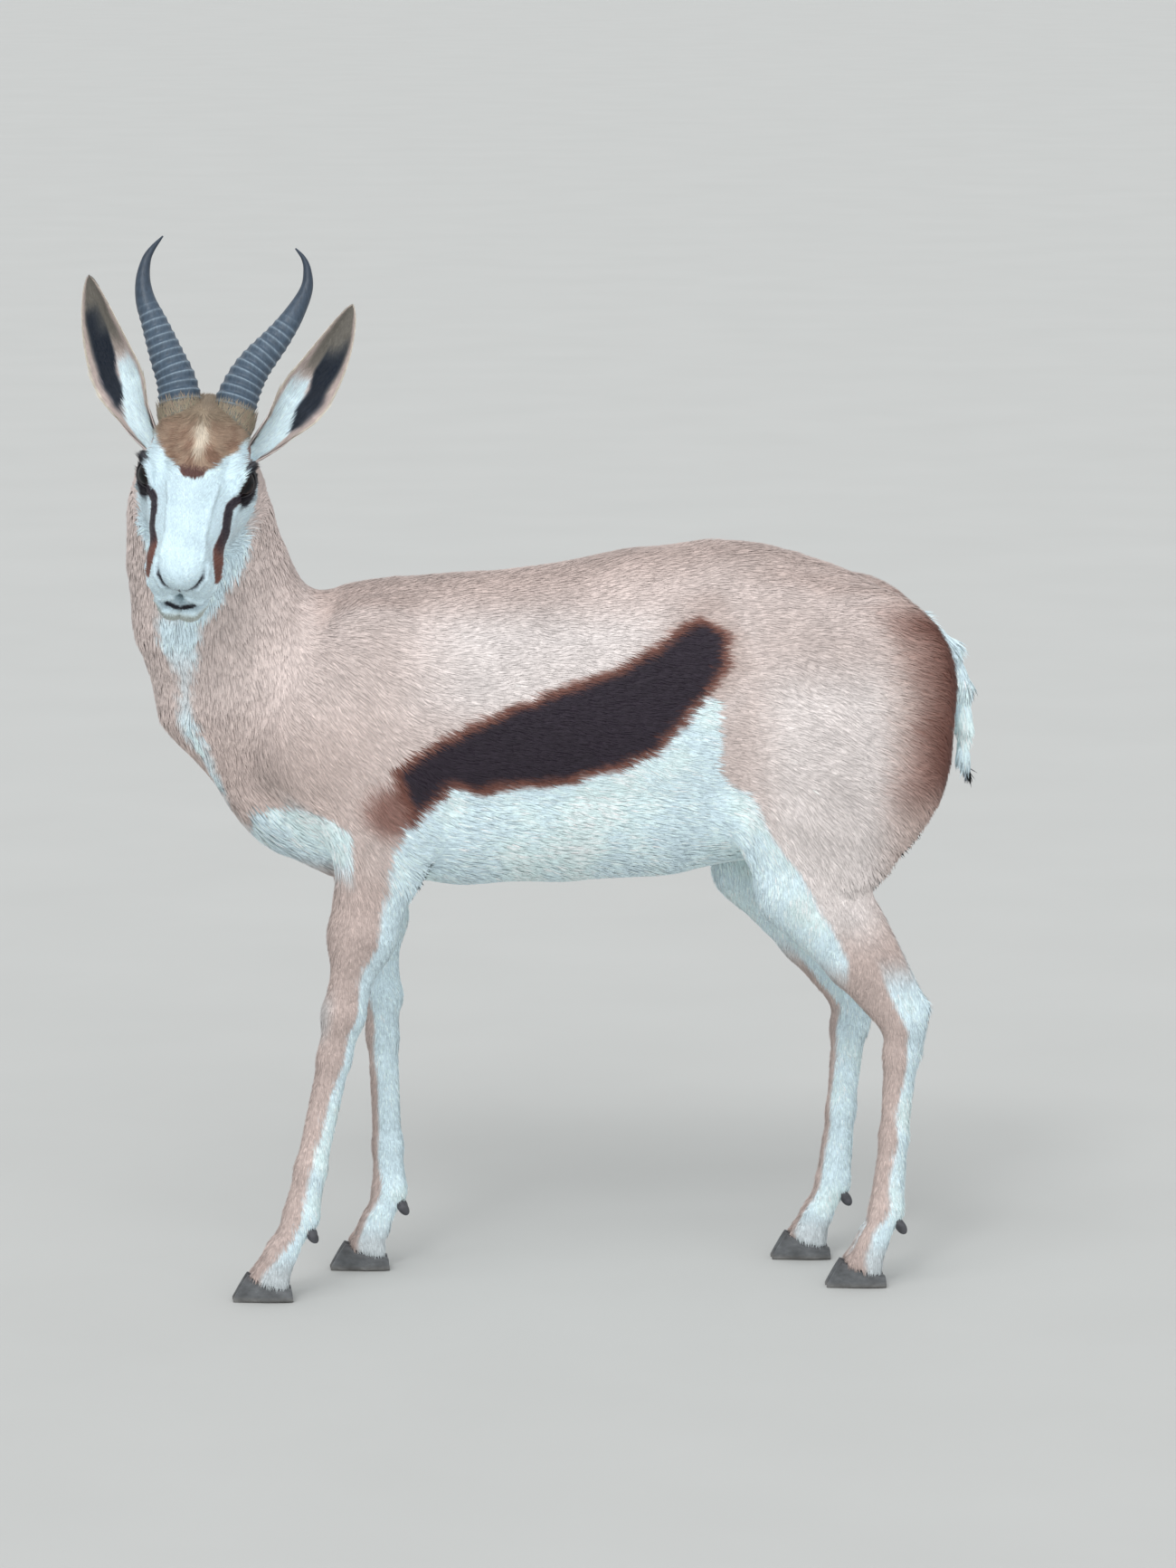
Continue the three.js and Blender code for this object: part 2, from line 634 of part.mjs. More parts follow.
const HORN_SIDES = 8;
const HORN_PATHS = {
  left: [[-50, 24, 16], [-86, 32, 38], [-112, 43, 53], [-142, 65, 71], [-165, 79, 85],
    [-188, 88, 98], [-203, 87, 110], [-211, 82, 119], [-216, 73, 127]],
  right: [[-50, 19, 20], [-86, 31, 45], [-108, 44, 60], [-136, 61, 80], [-154, 72, 92],
    [-170, 77, 105], [-185, 76, 118], [-194, 71, 127], [-202, 61, 139]],
};
function hornGeometry(name) {
  const side = name === "left" ? 1 : -1;
  const path = new THREE.CatmullRomCurve3(
    HORN_PATHS[name].map(([u, v, w]) => new THREE.Vector3(u, side * v, w)),
  );
  const ringed = 0.6; // share of the length that carries rings
  const stations = [];
  for (let ring = 0; ring < HORN_RINGS; ring++) {
    const low = 0.1 + ((ringed - 0.1) * ring) / HORN_RINGS;
    const tall = (ringed - 0.1) / HORN_RINGS;
    stations.push([low, -0.045], [low + tall * 0.55, 0.055 * (1 - ring / HORN_RINGS / 2)]);
  }
  for (let i = 0; i <= 7; i++) stations.push([mix(ringed, 1, i / 7), 0]);
  const rings = [[0, 0], ...stations].map(([t, ridge]) => {
    const centre = path.getPointAt(t);
    const tangent = path.getTangentAt(t);
    const across = new THREE.Vector3(0.6, 0, 0.8).cross(tangent).normalize();
    const front = new THREE.Vector3().crossVectors(tangent, across);
    const taper = (1 - t) ** 0.92 * mix(0.98, 1.1, Math.sin(Math.PI * t));
    const radius = HORN_BASE_RADIUS * taper + 0.8;
    return Array.from({ length: HORN_SIDES }, (_, i) => {
      const a = (i / HORN_SIDES) * 2 * Math.PI;
      return array(
        centre
          .clone()
          .addScaledVector(across, radius * (1 + ridge) * Math.cos(a) * 0.94)
          .addScaledVector(front, radius * (1 + ridge) * Math.sin(a)),
      );
    });
  });
  return loft(rings);
}

// Feet: two pointed claws and two dewclaws each

function clawGeometry(leg, toe) {
  const outer = toe * leg.side > 0;
  const centre = leg.joints[3][0];
  const front = centre - HOOF_LENGTH * 0.68;
  const stations = [0, 0.1, 0.34, 0.7, 0.93, 1];
  const rings = stations.map((t) => {
    const x = front + HOOF_LENGTH * t;
    const half = (HOOF_WIDTH / 2) * Math.min(1, 0.16 + 1.25 * t ** 0.75) * (t > 0.9 ? 0.82 : 1);
    const height = 3 + 40 * Math.sin(Math.min(1, t * 1.5) * Math.PI * 0.5) * (t > 0.9 ? 0.75 : 1);
    const inward = leg.side * (outer ? -1 : 1);
    const bend = inward * 3.5 * (1 - t) ** 2; // the toes' points lean together
    const y = leg.joints[3][1] + toe * (HOOF_WIDTH / 2 + 0.9) + bend;
    const section = [[-1, 0], [1, 0], [0.96, 0.5], [0.5, 0.96], [-0.5, 0.96], [-0.96, 0.5]];
    return section.map(([across, up]) => [x, y - across * half, up * height]);
  });
  return loft(rings);
}

function dewclawGeometry(leg, toe) {
  const fetlock = leg.joints[2];
  const pastern = leg.joints[3];
  const at = offset(between(fetlock, pastern, 0.36), 20, 0);
  at[1] = fetlock[1] + toe * 10;
  const rings = [[-5, 0.8], [4, 1], [11, 0.5]].map(([along, size]) =>
    Array.from({ length: 6 }, (_, i) => {
      const a = (i / 6) * 2 * Math.PI;
      return [
        at[0] + along * 0.55 + 6.5 * size * Math.cos(a) * 0.84,
        at[1] + 5 * size * Math.sin(a),
        at[2] - along * 0.84 + 6.5 * size * Math.cos(a) * 0.55,
      ];
    }),
  );
  return loft(rings);
}

// Tail: a thin core with long tapered locks lying along it, and a tuft at its end

const TAIL_PATH = [
  [403, 0, 690], [437, -1, 664], [452, -2, 626], [455, -3, 588], [454, -4, 556], [460, -5, 536],
];
const TAIL_RADII = [15, 13.5, 10.5, 8, 6, 3];
const TAIL_LOCKS = 10;
function tailSolid() {
  const path = new THREE.CatmullRomCurve3(TAIL_PATH.map(vector));
  const frameAt = (t) => {
    const tangent = path.getTangentAt(t);
    const across = new THREE.Vector3(0, 1, 0);
    const out = new THREE.Vector3().crossVectors(across, tangent).normalize();
    return { centre: path.getPointAt(t), tangent, across, out };
  };
  const radiusAt = (t) => {
    const place = t * (TAIL_RADII.length - 1);
    const i = Math.min(Math.floor(place), TAIL_RADII.length - 2);
    return mix(TAIL_RADII[i], TAIL_RADII[i + 1], place - i);
  };
  const sides = 8;
  const core = loft(
    Array.from({ length: 10 }, (_, r) => {
      const t = r / 9;
      const { centre, across, out } = frameAt(t);
      return Array.from({ length: sides }, (_, i) => {
        const a = (i / sides) * 2 * Math.PI;
        return array(
          centre.clone()
            .addScaledVector(across, radiusAt(t) * 0.9 * Math.cos(a))
            .addScaledVector(out, radiusAt(t) * Math.sin(a)),
        );
      });
    }),
  );
  const random = seeded(11);
  let tail = solidOf(core);
  for (let i = 0; i < TAIL_LOCKS; i++) {
    const share = i / (TAIL_LOCKS - 1);
    const t = mix(0.3, 0.93, share);
    const { centre, tangent, across, out } = frameAt(t);
    const angle = i * 2.4 + random() * 0.5; // golden-angle turns spread the locks evenly
    const away = across.clone().multiplyScalar(Math.cos(angle)).addScaledVector(out, Math.sin(angle));
    const start = centre.clone().addScaledVector(away, radiusAt(t) * 0.45);
    tail = tail.add(lock(start, tangent, away, mix(30, 40, random()), mix(4.6, 3.6, share), 5));
  }
  return tail;
}

// A flat, tapered, bent lock of hair.
function lock(start, along, away, length, half, lift) {
  const flat = new THREE.Vector3().crossVectors(along, away).normalize();
  const rings = [0, 0.4, 0.75, 1].map((t) => {
    const wide = half * (t < 0.3 ? 0.8 + t * 0.7 : 1.1 - t) + 0.35;
    const thick = Math.max(half * 0.45 * (1 - t), 0.3);
    const centre = start.clone()
      .addScaledVector(along, length * t)
      .addScaledVector(away, lift * Math.sin(Math.PI * 0.62 * t));
    return [[1, 0], [0, 1], [-1, 0], [0, -1]].map(([f, a]) =>
      array(centre.clone().addScaledVector(flat, f * wide).addScaledVector(away, a * thick)),
    );
  });
  return solidOf(loft(rings));
}

// A repeatable stream of numbers from 0 to 1.
function seeded(seed) {
  let state = seed;
  return () => {
    state = (state * 1664525 + 1013904223) % 4294967296;
    return state / 4294967296;
  };
}

// Materials

const paint = (color, roughness) => new THREE.MeshStandardMaterial({ color, roughness, metalness: 0 });
const TAN = paint(0xc9a48c, 0.85);
const WHITE = paint(0xe6eaec, 0.85);
const HORN = paint(0x3b4048, 0.5);
const HOOF = paint(0x56585c, 0.55);
const EYE = paint(0x0c0a0c, 0.08);

// Assembly

const springbok = new THREE.Group();
const add = (parent, name, geometry, material) => {
  const mesh = new THREE.Mesh(geometry, material);
  mesh.name = name;
  parent.add(mesh);
};

const torso = torsoSolid();
add(springbok, "torso", geometryFrom(torso), TAN);
add(springbok, "neck", geometryFrom(neckSolid()), TAN);
const rump = solidOf(surfaceNet(flesh, evenly(340, 480, 8), evenly(-60, 60, 8), evenly(620, 740, 8), GAP));
add(springbok, "tail", geometryFrom(tailSolid().subtract(rump).subtract(torso)), WHITE);

for (const [name, leg] of Object.entries(LEGS)) {
  const solid = legSolid(leg);
  add(springbok, "leg_" + name, geometryFrom(solid), TAN);
  for (const toe of [-1, 1]) {
    const place = toe * leg.side > 0 ? "outer" : "inner";
    const claw = solidOf(clawGeometry(leg, toe)).subtract(coronet(leg, 0));
    add(springbok, `hoof_${name}_${place}`, geometryFrom(claw), HOOF);
    const dewclaw = solidOf(dewclawGeometry(leg, toe));
    add(springbok, `dewclaw_${name}_${place}`, geometryFrom(dewclaw.subtract(solid)), HOOF);
  }
}

const head = new THREE.Group();
head.position.copy(headFrame.position);
head.quaternion.copy(headFrame.quaternion);
springbok.add(head);
const { skin, grown } = headSolids();
let face = skin.intersect(headSpace(GAP / 2));
for (const side of [1, -1])
  face = face
    .subtract(almond(side))
    .subtract(ball(eyeCentre(side), EYE_RADIUS + GAP))
    .subtract(groove(NOSTRIL.map(([u, v, w, r]) => [u, side * v, w, r])))
    .subtract(groove(LIP_LINE.map(([u, v, w, r]) => [u, side * v, w, r])));
face = face.subtract(groove(PHILTRUM));
add(head, "head", geometryFrom(face), WHITE);
for (const [name, side] of [["left", 1], ["right", -1]]) {
  add(head, "eye_" + name, geometryFrom(ball(eyeCentre(side), EYE_RADIUS)), EYE);
  add(head, "ear_" + name, geometryFrom(solidOf(earGeometry(name)).subtract(grown)), TAN);
  add(head, "horn_" + name, geometryFrom(solidOf(hornGeometry(name)).subtract(grown)), HORN);
}

// The origin is put under the middle of the whole, on the floor.
const bounds = new THREE.Box3().setFromObject(springbok, true);
const middle = bounds.getCenter(new THREE.Vector3());
springbok.position.set(-middle.x, -middle.y, -bounds.min.z);

export default springbok;
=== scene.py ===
"""A life-size springbok standing still with its head turned: skin, coat, eyes, horns and hooves.

Everything is worked out in the anatomy's millimetres and carried to the frame's metres at the end.
The skin is one closed surface of a smooth distance field. The coat is many thin closed tufts laid
along the lie of the hair, and takes its markings from the same functions as the skin.
"""

import math

import bpy
import numpy as np
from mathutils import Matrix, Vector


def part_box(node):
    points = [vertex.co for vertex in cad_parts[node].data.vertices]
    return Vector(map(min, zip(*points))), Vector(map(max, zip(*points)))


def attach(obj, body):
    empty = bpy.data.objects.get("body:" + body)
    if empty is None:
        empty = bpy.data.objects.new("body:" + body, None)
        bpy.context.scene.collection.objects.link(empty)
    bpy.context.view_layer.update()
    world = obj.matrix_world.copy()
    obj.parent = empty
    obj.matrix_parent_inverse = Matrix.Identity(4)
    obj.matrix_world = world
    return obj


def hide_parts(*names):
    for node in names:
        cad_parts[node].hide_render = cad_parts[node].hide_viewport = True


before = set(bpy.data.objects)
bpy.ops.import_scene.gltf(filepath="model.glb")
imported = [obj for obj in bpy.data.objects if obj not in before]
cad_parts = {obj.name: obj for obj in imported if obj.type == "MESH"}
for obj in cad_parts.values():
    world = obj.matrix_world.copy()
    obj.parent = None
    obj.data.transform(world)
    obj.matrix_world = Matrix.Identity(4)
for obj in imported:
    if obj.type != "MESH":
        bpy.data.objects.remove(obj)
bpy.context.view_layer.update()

random = np.random.default_rng(20)

# Anatomy, in millimetres. The animal faces -X, its left side is -Y and the floor is Z = 0.

HEAD_AT = np.array([-349.0, -112.0, 864.0])
HEAD_TURN = math.radians(78.4)
HEAD_NOD = math.radians(38)
HEAD_TILT = math.radians(7)
EYE_RADIUS = 18.0
EYE_AT = (1.0, 42.0, 3.0)
LID_THICKNESS = 2.5
HOOF_LENGTH = 62.0
HOOF_WIDTH = 18.0
HOOF_TOE_HEIGHT = 27.0
HOOF_HEEL_HEIGHT = 11.0
TOE_SHARE = 0.68  # of the hoof's length lies ahead of the coronet's joint
CORONET_TOE_SHARE = 0.42  # of it lies between that joint and the coronet's highest place
CORONET_RUN_SHARE = 0.7  # of it is taken by the coronet's slant
CLAW_GAP = 0.9
KNEE = 23.0
FORE_END = 60  # fore legs stand ahead of this x, hind legs behind it


def turn_matrix(axis, angle):
    """The matrix of a turn about one axis: 0 for X, 1 for Y and 2 for Z."""
    i, j = [(1, 2), (2, 0), (0, 1)][axis]
    matrix = np.eye(3)
    matrix[i, i] = matrix[j, j] = math.cos(angle)
    matrix[j, i] = math.sin(angle)
    matrix[i, j] = -math.sin(angle)
    return matrix


# The head's own frame has u towards the nose, v to the animal's left and w to the crown.
HEAD_AXES = turn_matrix(2, HEAD_TURN - math.pi) @ turn_matrix(1, HEAD_NOD) @ turn_matrix(0, -HEAD_TILT)


def to_body(points):
    return np.asarray(points, float) @ HEAD_AXES.T + HEAD_AT


def to_head(points):
    return (np.asarray(points, float) - HEAD_AT) @ HEAD_AXES


def mix(a, b, t):
    return a + (b - a) * t


def between(a, b, t):
    """The point a share t of the way from a to b."""
    return [mix(p, q, t) for p, q in zip(a, b)]


def blend(a, b, k):
    """The union of two distances, rounded over k millimetres."""
    h = np.maximum(k - np.abs(a - b), 0) / k
    return np.minimum(a, b) - h * h * k * 0.25


def carve(a, b, k):
    """Distance a with the shape of distance b taken away, its edge rounded over k millimetres."""
    return -blend(-a, b, k)


def bone(a, b, ra, rb, wide=1.0):
    """A rounded bar from a to b with end radii ra and rb, its width along y `wide` times its depth."""
    ax, ay, az = a
    dx, dy, dz = b[0] - ax, (b[1] - ay) / wide, b[2] - az
    squared = (dx * dx + dy * dy + dz * dz) or 1.0

    def field(x, y, z):
        px, py, pz = x - ax, (y - ay) / wide, z - az
        t = np.clip((px * dx + py * dy + pz * dz) / squared, 0, 1)
        return np.sqrt((px - t * dx) ** 2 + (py - t * dy) ** 2 + (pz - t * dz) ** 2) - (ra + (rb - ra) * t)

    return field


def chain(joints):
    """Bars joined end to end through joints (x, y, z, radius, wide)."""
    full = [tuple(j) + (1.0,) * (5 - len(j)) for j in joints]
    return [bone(p[:3], q[:3], p[3], q[3], (p[4] + q[4]) / 2) for p, q in zip(full, full[1:])]


def joined(fields, k):
    def field(x, y, z):
        total = fields[0](x, y, z)
        for part in fields[1:]:
            total = blend(total, part(x, y, z), k)
        return total

    return field


def paired(field):
    """The same field on both sides of the y = 0 plane."""
    return lambda x, y, z: field(x, np.abs(y), z)


trunk = joined(chain([
    (-222, 0, 598, 126, 0.6), (-160, 0, 592, 152, 0.6), (-70, 0, 588, 160, 0.64), (30, 0, 592, 163, 0.66),
    (120, 0, 602, 169, 0.62), (212, 0, 615, 166, 0.58), (285, 0, 627, 131, 0.58), (336, 0, 631, 92, 0.6),
]), 20)
brisket = bone((-238, 0, 520), (-185, 0, 505), 58, 68, 0.72)
shoulder = joined([
    bone((-172, 56, 688), (-226, 66, 590), 42, 58, 0.6),
    bone((-226, 66, 590), (-160, 70, 500), 56, 50, 0.62),
], 30)
haunch = joined([
    bone((332, 60, 632), (327, 66, 580), 109, 108, 0.4),
    bone((306, 60, 600), (306, 66, 548), 108, 112, 0.4),
    bone((250, 56, 676), (314, 58, 632), 56, 90, 0.42),
], 30)
neck = joined(chain([
    (-292, 0, 650, 106, 0.66), (-323, -6, 715, 87, 0.74), (-338, -16, 775, 77, 0.78),
    (-344, -26, 825, 69, 0.86), (-346, -40, 868, 56, 1),
]), 20)

# Each leg's joints: elbow or stifle, knee or hock, fetlock and coronet, then its side and cannon depth.
LEGS = {
    "front_left": ([(-163, -68, 462), (-201, -66, 302), (-246, -65, 92), (-276, -65, 34)], -1, 18.0),
    "front_right": ([(-166, 68, 462), (-153, 66, 296), (-145, 65, 88), (-166, 65, 34)], 1, 17.5),
    "hind_left": ([(272, -70, 428), (386, -68, 272), (368, -66, 84), (346, -66, 34)], -1, 0),
    "hind_right": ([(246, 70, 428), (350, 68, 276), (330, 66, 86), (306, 66, 34)], 1, 0),
}


def digits(fetlock, coronet):
    """The pastern's two toes, side by side, down into the tops of the claws."""
    bars = []
    for toe in (-1, 1):
        y = coronet[1] + toe * (HOOF_WIDTH / 2 + 0.5)
        bars += chain([
            (fetlock[0], fetlock[1] + toe * 5, fetlock[2] - 4, 17, 0.72),
            (mix(fetlock[0], coronet[0], 0.72), y, mix(fetlock[2], coronet[2], 0.72), 15, 0.62),
            (coronet[0] - 5, y, coronet[2] - 14, 23, 0.43),
        ])
    return bars


def front_leg(elbow, knee, fetlock, coronet, depth):
    return joined([
        bone((elbow[0] + 4, elbow[1], elbow[2] + 30), elbow, 52, 46, 0.6),
        *chain([
            (*elbow, 46, 0.56),
            (*between(elbow, knee, 0.5), 36, 0.66),
            (*between(elbow, knee, 0.84), depth + 3, 0.82),
            (*knee, KNEE, 0.84),
            (*between(knee, fetlock, 0.22), depth, 0.72),
            (*between(knee, fetlock, 0.78), depth - 1, 0.72),
            (*fetlock, depth + 2, 0.86),
        ]),
        *digits(fetlock, coronet),
    ], 10)


def hind_leg(stifle, hock, fetlock, coronet):
    y = stifle[1]
    mid = between(stifle, hock, 0.5)
    tendon = (hock[0] + 15, hock[1], hock[2] + 24)
    return joined([
        bone((308, y, 548), (294, y, 486), 106, 84, 0.42),
        bone((290, y, 490), stifle, 76, 48, 0.55),
        *chain([
            (*stifle, 48, 0.6),
            (mid[0] + 4, mid[1], mid[2], 33, 0.7),
            (hock[0] - 2, hock[1], hock[2] + 6, 22, 0.82),
            (hock[0] - 4, hock[1], hock[2] - 26, 20, 0.8),
            (*between(hock, fetlock, 0.6), 16.5, 0.78),
            (*fetlock, 20, 0.86),
        ]),
        bone((stifle[0] + 58, y, stifle[2] - 10), tendon, 20, 13, 0.6),
        bone(tendon, (hock[0] + 6, hock[1], hock[2] - 20), 13, 14, 0.75),
        *digits(fetlock, coronet),
    ], 10)


leg_fields = [
    front_leg(*joints, depth) if depth else hind_leg(*joints) for joints, side, depth in LEGS.values()
]

LID_RADIUS = EYE_RADIUS + LID_THICKNESS
CHEEK = [(-48, 27, -42, 30), (4, 28, -34, 26), (52, 20, -24, 19), (96, 18, -24, 19)]
UPPER_LIP = [(96, 18, -24, 19), (124, 14.5, -24, 18.5)]
JAW = [(-46, 22, -56, 22), (10, 18, -51, 20), (84, 16, -51, 17), (124, 8.5, -58, 16.5)]
skull = joined([
    *chain([
        (-58, 0, 0, 45), (-34, 0, 5, 46.5), (-2, 0, 9, 33, 1.12), (30, 0, 6, 26, 1.2),
        (74, 0, 2, 22.5, 1.2), (116, 0, 0, 20.5, 1.2), (130, 0, -4, 19.5, 1.22),
    ]),
    paired(bone((-12, 34, 14), (10, 33, 4), 16, 14)),
    *[paired(bar) for muscle in (CHEEK, UPPER_LIP, JAW) for bar in chain(muscle)],
    paired(bone((6, 29, -10), (72, 17, -8), 23, 19)),
    paired(bone(EYE_AT, EYE_AT, LID_RADIUS, LID_RADIUS)),
], 12)

body_fields = [
    (trunk, 1), (brisket, 40), (paired(shoulder), 34), (paired(haunch), 40), (neck, 24),
    *[(leg, 22) for leg in leg_fields],
]


def slope(field, points, h=0.5):
    """The gradient of a field at rows of points."""
    grad = np.empty_like(points)
    for axis in range(3):
        more, less = points.copy(), points.copy()
        more[:, axis] += h
        less[:, axis] -= h
        grad[:, axis] = (field(*more.T) - field(*less.T)) / (2 * h)
    return grad


# The frame's own origin lies under the middle of the whole model. The near front hoof, whose place
# in the anatomy is known, tells how far that is.

near_coronet = LEGS["front_left"][0][3]
outer_low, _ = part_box("hoof_front_left_outer")
_, inner_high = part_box("hoof_front_left_inner")
SHIFT = np.array([
    1000 * outer_low.x - (near_coronet[0] - TOE_SHARE * HOOF_LENGTH),
    500 * (outer_low.y + inner_high.y) - near_coronet[1],
    0.0,
])


def metres(points):
    return (np.asarray(points, float) + SHIFT) / 1000


# Meshes

def mesh_object(name, points, faces, material, smooth=True):
    """A mesh from points in anatomy millimetres and an array of equal-sided faces."""
    faces = np.asarray(faces, np.int32)
    count, sides = faces.shape
    mesh = bpy.data.meshes.new(name)
    mesh.vertices.add(len(points))
    mesh.vertices.foreach_set("co", metres(points).astype(np.float32).ravel())
    mesh.loops.add(count * sides)
    mesh.loops.foreach_set("vertex_index", faces.ravel())
    mesh.polygons.add(count)
    mesh.polygons.foreach_set("loop_start", np.arange(count, dtype=np.int32) * sides)
    mesh.polygons.foreach_set("use_smooth", np.full(count, smooth))
    mesh.update(calc_edges=True)
    mesh.materials.append(material)
    piece = bpy.data.objects.new(name, mesh)
    bpy.context.scene.collection.objects.link(piece)
    return piece


def finish_piece(piece, slot, *replaced):
    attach(piece, "root")
    if replaced:
        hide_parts(*replaced)
    return piece


def add_colours(piece, colours):
    """A colour for each vertex, kept with the mesh."""
    layer = piece.data.color_attributes.new("marking", "FLOAT_COLOR", "POINT")
    full = np.ones((len(colours), 4), np.float32)
    full[:, :3] = colours
    layer.data.foreach_set("color", full.ravel())


def outward(points, faces):
    """The faces, turned over if they would make the surface inside out."""
    a, b, c = (points[faces[:, i]] for i in range(3))
    return faces if (a * np.cross(b, c)).sum() > 0 else faces[:, ::-1]


# The skin: flesh drawn in by the coat's depth, with the face's folds and the tail's core

TAIL_PATH = [(403, 0, 690), (437, -1, 664), (452, -2, 626), (455, -3, 588), (454, -4, 556), (460, -5, 536)]
TAIL_CORE = [12, 10, 8, 6.5, 4.5, 2]
tail_core = joined(chain([(*p, r, 0.9) for p, r in zip(TAIL_PATH, TAIL_CORE)]), 6)


def ramp(value, low, high):
    """0 below low, 1 above high, smooth between; low may be above high."""
    t = np.clip((value - low) / (high - low), 0, 1)
    return t * t * (3 - 2 * t)


def unit(vectors):
    vectors = np.asarray(vectors, float)
    return vectors / np.maximum(np.linalg.norm(vectors, axis=-1, keepdims=True), 1e-9)


def circle(sides):
    """Angles evenly spaced round a full turn."""
    return np.linspace(0, 2 * math.pi, sides, endpoint=False)


def side_of(name):
    """The sign of v on one side of the head, and what mirrors a point of the left side there."""
    side = 1 if name == "left" else -1
    return side, np.array([1, side, 1])


def settle(field, points, passes=3, reach=4.0):
    """Moves rows of points along a field's slope onto its zero surface."""
    for _ in range(passes):
        value = field(*points.T)
        grad = slope(field, points)
        step = value[:, None] * grad / np.maximum((grad ** 2).sum(1), 0.05)[:, None]
        points = points - np.clip(step, -reach, reach)
    return points


def on_skull(points, inset=0.0):
    """Points (u, v, w) of the head's frame, moved onto the skull."""
    return settle(lambda u, v, w: skull(u, v, w) + inset, np.array(points, float), 5)


# Eyes: the opening between the lids is an almond in a plane that faces outward, forward and up.

EYE_OUT = unit((0.85, 1.0, 0.3))
EYE_LONG = np.array([0.9, 0.0, -0.42])
EYE_LONG = unit(EYE_LONG - EYE_OUT * (EYE_LONG @ EYE_OUT))
EYE_UP = np.cross(EYE_LONG, EYE_OUT)
EYE_UP = EYE_UP * (1 if EYE_UP[2] > 0 else -1)
ALMOND_HALF = EYE_RADIUS * 0.93
ALMOND_TOP = EYE_RADIUS * 0.6
ALMOND_BOTTOM = EYE_RADIUS * 0.5


def almond_edges(along):
    """The upper and lower edge of the eye's opening at places along it."""
    share = np.clip(1 - np.abs(along / ALMOND_HALF) ** 2.2, 0, 1)
    return ALMOND_TOP * share, -ALMOND_BOTTOM * share


def eye_axes(u, v, w):
    """Places seen from the eye: along its opening, up across it and out of the head."""
    local = np.stack([u - EYE_AT[0], np.abs(v) - EYE_AT[1], w - EYE_AT[2]], axis=-1)
    return local @ EYE_LONG, local @ EYE_UP, local @ EYE_OUT


def eye_opening(u, v, w):
    along, across, out = eye_axes(u, v, w)
    top, bottom = almond_edges(along)
    middle = (top + bottom) / 2
    beside = np.maximum(np.abs(across - middle) - (top - bottom) / 2, np.abs(along) - ALMOND_HALF)
    return np.maximum(beside, 5 - out)


# Folds of the face: places on the skull with the radius of the groove or ridge there

LIP_LINE = [
    (100, 40, -35, 0.3), (114, 36, -40, 0.7), (126, 29, -44, 1.0), (138, 18, -45, 1.1), (146, 0, -44, 1.1),
]
NOSTRIL = [
    (150, 0, -15, 0.6), (148, 9, -15, 0.9), (145, 17, -9, 1.3), (139, 24, -1, 1.3), (131, 27, 5, 0.4),
]
PHILTRUM = [(150, 0, -14, 0.8), (149, 0, -28, 0.9), (146, 0, -44, 0.8)]
TEAR_GROOVE = [(22, 47, -2, 1.8), (38, 41, -4, 2.4), (56, 36, -9, 1.0)]
BRIDGE_SIDE = [(34, 25, 24, 1.5), (66, 21, 22, 2.4), (100, 20, 18, 2.6), (124, 20, 12, 1.6)]
UPPER_LID = [(-14, 55, 14, 2.2), (2, 54, 22, 3.2), (18, 45, 18, 3.0), (26, 40, 9, 1.6)]
LOWER_LID = [(-8, 60, -8, 1.8), (8, 58, -12, 2.4), (22, 50, -10, 1.6)]
NOSE_WING = [(126, 31, 4, 2.2), (137, 28, -5, 3.0), (145, 19, -14, 2.4)]
UPPER_LIP_PAD = [(104, 39, -28, 2.5), (122, 33, -33, 3.8), (137, 20, -36, 4.2), (145, 6, -35, 3.4)]
LOWER_LIP_PAD = [(108, 33, -51, 2.0), (124, 26, -53, 3.0), (136, 13, -54, 3.4), (141, 3, -54, 3.4)]


def fold(joints, inset=0.0, k=3):
    """Bars laid along the skull through joints (u, v, w, radius), the same on both sides."""
    places = on_skull([joint[:3] for joint in joints], inset)
    bars = chain([(*place, joint[3]) for place, joint in zip(places, joints)])
    return joined([paired(bar) for bar in bars], k)


nostril_cut = fold(NOSTRIL, k=1)
lip_cut = fold(LIP_LINE, k=1)
philtrum_cut = fold(PHILTRUM, k=1)
tear_cut = fold(TEAR_GROOVE)
ridges = [
    fold(BRIDGE_SIDE, 1.2), fold(UPPER_LID, -0.6), fold(LOWER_LID, -0.4), fold(NOSE_WING, 0.8),
    fold(UPPER_LIP_PAD, 1.2), fold(LOWER_LIP_PAD, 1.4),
]


def face_details(total, u, v, w):
    for ridge in ridges:
        total = blend(total, ridge(u, v, w), 4)
    cuts = ((eye_opening, 2.0), (tear_cut, 4.0), (nostril_cut, 1.6), (lip_cut, 1.4), (philtrum_cut, 1.4))
    for cut, k in cuts:
        total = carve(total, cut(u, v, w), k)
    return total


BODY_DEPTH, LEG_DEPTH, RUMP_DEPTH, HEAD_DEPTH = 3.2, 2.1, 4.8, 1.5


def coat_depth(x, z, head):
    """How far the skin lies below the tips of the coat, given the share that belongs to the head."""
    depth = mix(BODY_DEPTH, LEG_DEPTH, ramp(z, 470, 330))
    depth = mix(depth, RUMP_DEPTH, ramp(x, 360, 410))
    return mix(depth, HEAD_DEPTH, head)


def coronet_plane(leg, x, z):
    """Height above the slanting line where a leg's hair gives way to its claws."""
    joints = LEGS[leg][0]
    toe = joints[3][0] - HOOF_LENGTH * CORONET_TOE_SHARE
    normal = unit((HOOF_TOE_HEIGHT - HOOF_HEEL_HEIGHT, HOOF_LENGTH * CORONET_RUN_SHARE))
    return (x - toe) * normal[0] + (z - HOOF_TOE_HEIGHT) * normal[1]


